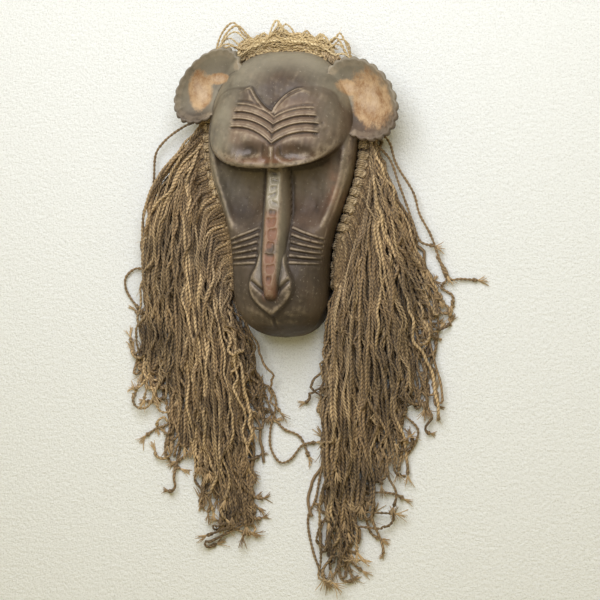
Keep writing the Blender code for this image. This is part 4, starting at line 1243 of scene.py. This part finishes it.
def rim_rope(material):
    """The binding cord: a core with knots along it, each of four turns and a bridge over them."""
    bundle = Bundle()
    line = beside_outline(ROPE_RADIUS + GAP, lambda x, y: y > ROPE_END_Y, 800)
    path = np.column_stack([line, np.full(len(line), ROPE_RISE)])
    add_cord(bundle, path, ROPE_CORE_RADIUS, 0.3, 0.6)
    along = unit(np.gradient(path, axis=0))
    across, rise = framed(path)
    knots = int(path_length(path) / KNOT_PITCH)
    angle = np.linspace(0, math.tau, 15)[:, None]
    for n in range(knots):
        lean = dice.normal(0.8, 0.7) * mm
        size = dice.uniform(0.95, 1.2)
        shade = shade_of(dice.normal(0.72, 0.2))
        for turn in KNOT_TURNS:
            k = int(np.clip((n + 0.5 + turn * dice.uniform(0.8, 1.0)) / knots, 0, 1) * (len(path) - 1))
            radius = (ROPE_RADIUS - 1.1 * mm) * size * (1.06 - 1.3 * turn**2)
            hoop = path[k] + radius * (np.cos(angle) * across[k] + np.sin(angle) * rise[k])
            hoop = hoop + np.sin(angle) * lean * along[k]
            turn_shade = shade_of(shade + dice.normal(0, 0.12))
            add_hoop(bundle, hoop, along[k], path[k], dice.uniform(1.2, 1.5) * mm, turn_shade)
        k = int((n + 0.5) / knots * (len(path) - 1))
        facing = dice.uniform(0.15, 0.5) * math.pi
        out = math.cos(facing) * across[k] + math.sin(facing) * rise[k]
        t = np.linspace(-1, 1, 9)[:, None]
        bridge = path[k] + t * 3.2 * mm * along[k] + (ROPE_RADIUS * (1.1 - 0.5 * t**4)) * out
        add_cord(bundle, bridge, 1.3 * mm, shade, 0.2, 0.0, False)
    bundle.make("knotted_rim_rope", material, "brown_cord", "rim_rope")


def add_hoop(bundle, hoop, axis, middle, radius, shade):
    """A cord's turn round the rope, as a closed hoop of six-sided section."""
    outward = hoop - middle
    outward = unit(outward - (outward @ axis)[:, None] * axis)
    turn = round_angles(6)
    s = np.linspace(0, math.tau * np.linalg.norm(hoop[0] - middle) / mm, len(hoop))
    bundle.add(
        tube(hoop, outward, axis[None, :], turn[None, :], radius), shade=shade, age=0.35,
        along=s[:, None], ply_cos=np.cos(2 * turn), ply_sin=np.sin(2 * turn), plain=1.0,
    )


def crest_band(bundle, offset):
    """Strands that run side by side over the top of the head, each with its own waves and ends."""
    line = beside_outline(offset, lambda x, y: (y > 60) & (np.abs(x) < CREST_REACH_X + 3), 160)
    path = np.column_stack([line, np.full(len(line), ROPE_RISE)])
    across, rise = framed(path)
    s = np.linspace(0, 1, len(path))
    waves = ((2, 0.9), (5, 0.7), (11, 0.7), (19, 0.4))
    for n in range(CREST_STRANDS):
        share = n / (CREST_STRANDS - 1)
        inwards = (-1 + 14.5 * share + dice.normal(0, 1.0)) * mm
        lift = (2.5 + 5.5 * math.sin(math.pi * min(share * 1.15, 1)) + dice.uniform(-1.5, 1.5)) * mm
        sway = sum(a * np.sin(math.tau * (f * s + dice.random())) for f, a in waves)
        bob = np.sin(math.tau * (dice.uniform(6, 12) * s + dice.random()))
        first, last = dice.integers(0, 26), len(path) - dice.integers(0, 26)
        route = path - (inwards + sway * mm)[:, None] * across + (lift + bob * 0.8 * mm)[:, None] * rise
        radius, shade = dice.uniform(0.75, 1.2) * mm, dice.uniform(0.2, 1.0)
        add_cord(bundle, route[first:last], radius, shade, 0.25, 0.0, n % 3 > 0)


def crest_loops(bundle, offset):
    """Loops drawn up out of the band, each with three or four like it beside it."""
    foot = beside_outline(offset - 6 * mm, lambda x, y: y > 70, 200)[::-1]
    for x1, x2, height, x3 in CREST_LOOPS:
        for twin in range(5 if height > 14 else 4):
            a, b = x1 + dice.uniform(-4, 4) * (twin > 0), x2 + dice.uniform(-4, 4) * (twin > 0)
            c = x3 + dice.uniform(-5, 5) * (twin > 0)
            tall = (height + 3) * (1 - 0.17 * twin)
            y1, y2, y3 = np.interp(np.array([a, b, c]) * mm, foot[:, 0], foot[:, 1]) / mm
            lean = (c - a) * 0.2
            z = ROPE_RISE / mm + 4 + twin * 1.1
            side_y = y2 + 0.72 * tall
            top = [(b - lean, side_y, z + 2), (b, y2 + tall, z + 1), (b + lean, side_y, z + 2)]
            route = smooth_path([(a, y1, z), *top, (c, y3, z)], 60) * mm
            wave = np.sin(np.linspace(0, dice.uniform(9, 20), 60)) * 0.6 * mm
            radius, shade = dice.uniform(0.85, 1.2) * mm, dice.uniform(0.2, 1.0)
            add_cord(bundle, route + wave[:, None], radius, shade, 0.15)
            add_fuzz(bundle, route, 0.8, 2)


def crest(material):
    """Raffia drawn up in loops out of strands that run over the rope at the top of the head."""
    bundle = Bundle()
    offset = 2 * (ROPE_RADIUS + GAP) + BAND_RADIUS
    crest_band(bundle, offset)
    crest_loops(bundle, offset)
    bundle.make("raffia_crest", material, "raffia", "crest")


# Room, light and camera
def stage():
    """A pale floor, one large cool lamp over the top of the mask and warm light from the room."""
    bpy.ops.mesh.primitive_plane_add(size=FLOOR_SIZE)
    floor = bpy.context.object
    floor.name = "floor"
    floor.data.materials.append(plaster_material())
    world = bpy.data.worlds.new("room")
    bpy.context.scene.world = world
    world.use_nodes = True
    background = world.node_tree.nodes["Background"]
    background.inputs["Color"].default_value = ROOM_TINT
    background.inputs["Strength"].default_value = ROOM_LIGHT
    lamp = bpy.data.lights.new("key", "AREA")
    lamp.size = LAMP_SIZE
    lamp.energy = LAMP_WATTS
    lamp.color = LAMP_TINT
    obj = bpy.data.objects.new("key", lamp)
    bpy.context.scene.collection.objects.link(obj)
    obj.location = LAMP_PLACE
    obj.rotation_euler = (LAMP_AIM - LAMP_PLACE).to_track_quat("-Z", "Y").to_euler()


def camera():
    """Looks down on the mask from its left side, as the photograph does."""
    data = bpy.data.cameras.new("camera")
    data.sensor_width = SENSOR_WIDTH
    data.lens = SENSOR_WIDTH * VIEW_DISTANCE / (VIEW_PIXELS * VIEW_SCALE)
    obj = bpy.data.objects.new("camera", data)
    bpy.context.scene.collection.objects.link(obj)
    turn = math.radians(VIEW_TURN)
    obj.location = PLACE + VIEW_TARGET + VIEW_DISTANCE * np.array([math.sin(turn), 0, math.cos(turn)])
    obj.rotation_euler = (0, turn, 0)
    bpy.context.scene.camera = obj


def main():
    bpy.context.scene.view_settings.view_transform = "Standard"
    stage()
    camera()
    carved_mask()
    cord = fibre_material("dusty_twisted_cord", CORD_COLOURS)
    rim_rope(fibre_material("knotted_cord", ROPE_COLOURS))
    crest(fibre_material("straw_raffia", RAFFIA_COLOURS))
    mane(-1, "mane_left", LEFT_LOCKS, LEFT_SINGLES, cord)
    mane(1, "mane_right", RIGHT_LOCKS, RIGHT_SINGLES, cord)


main()
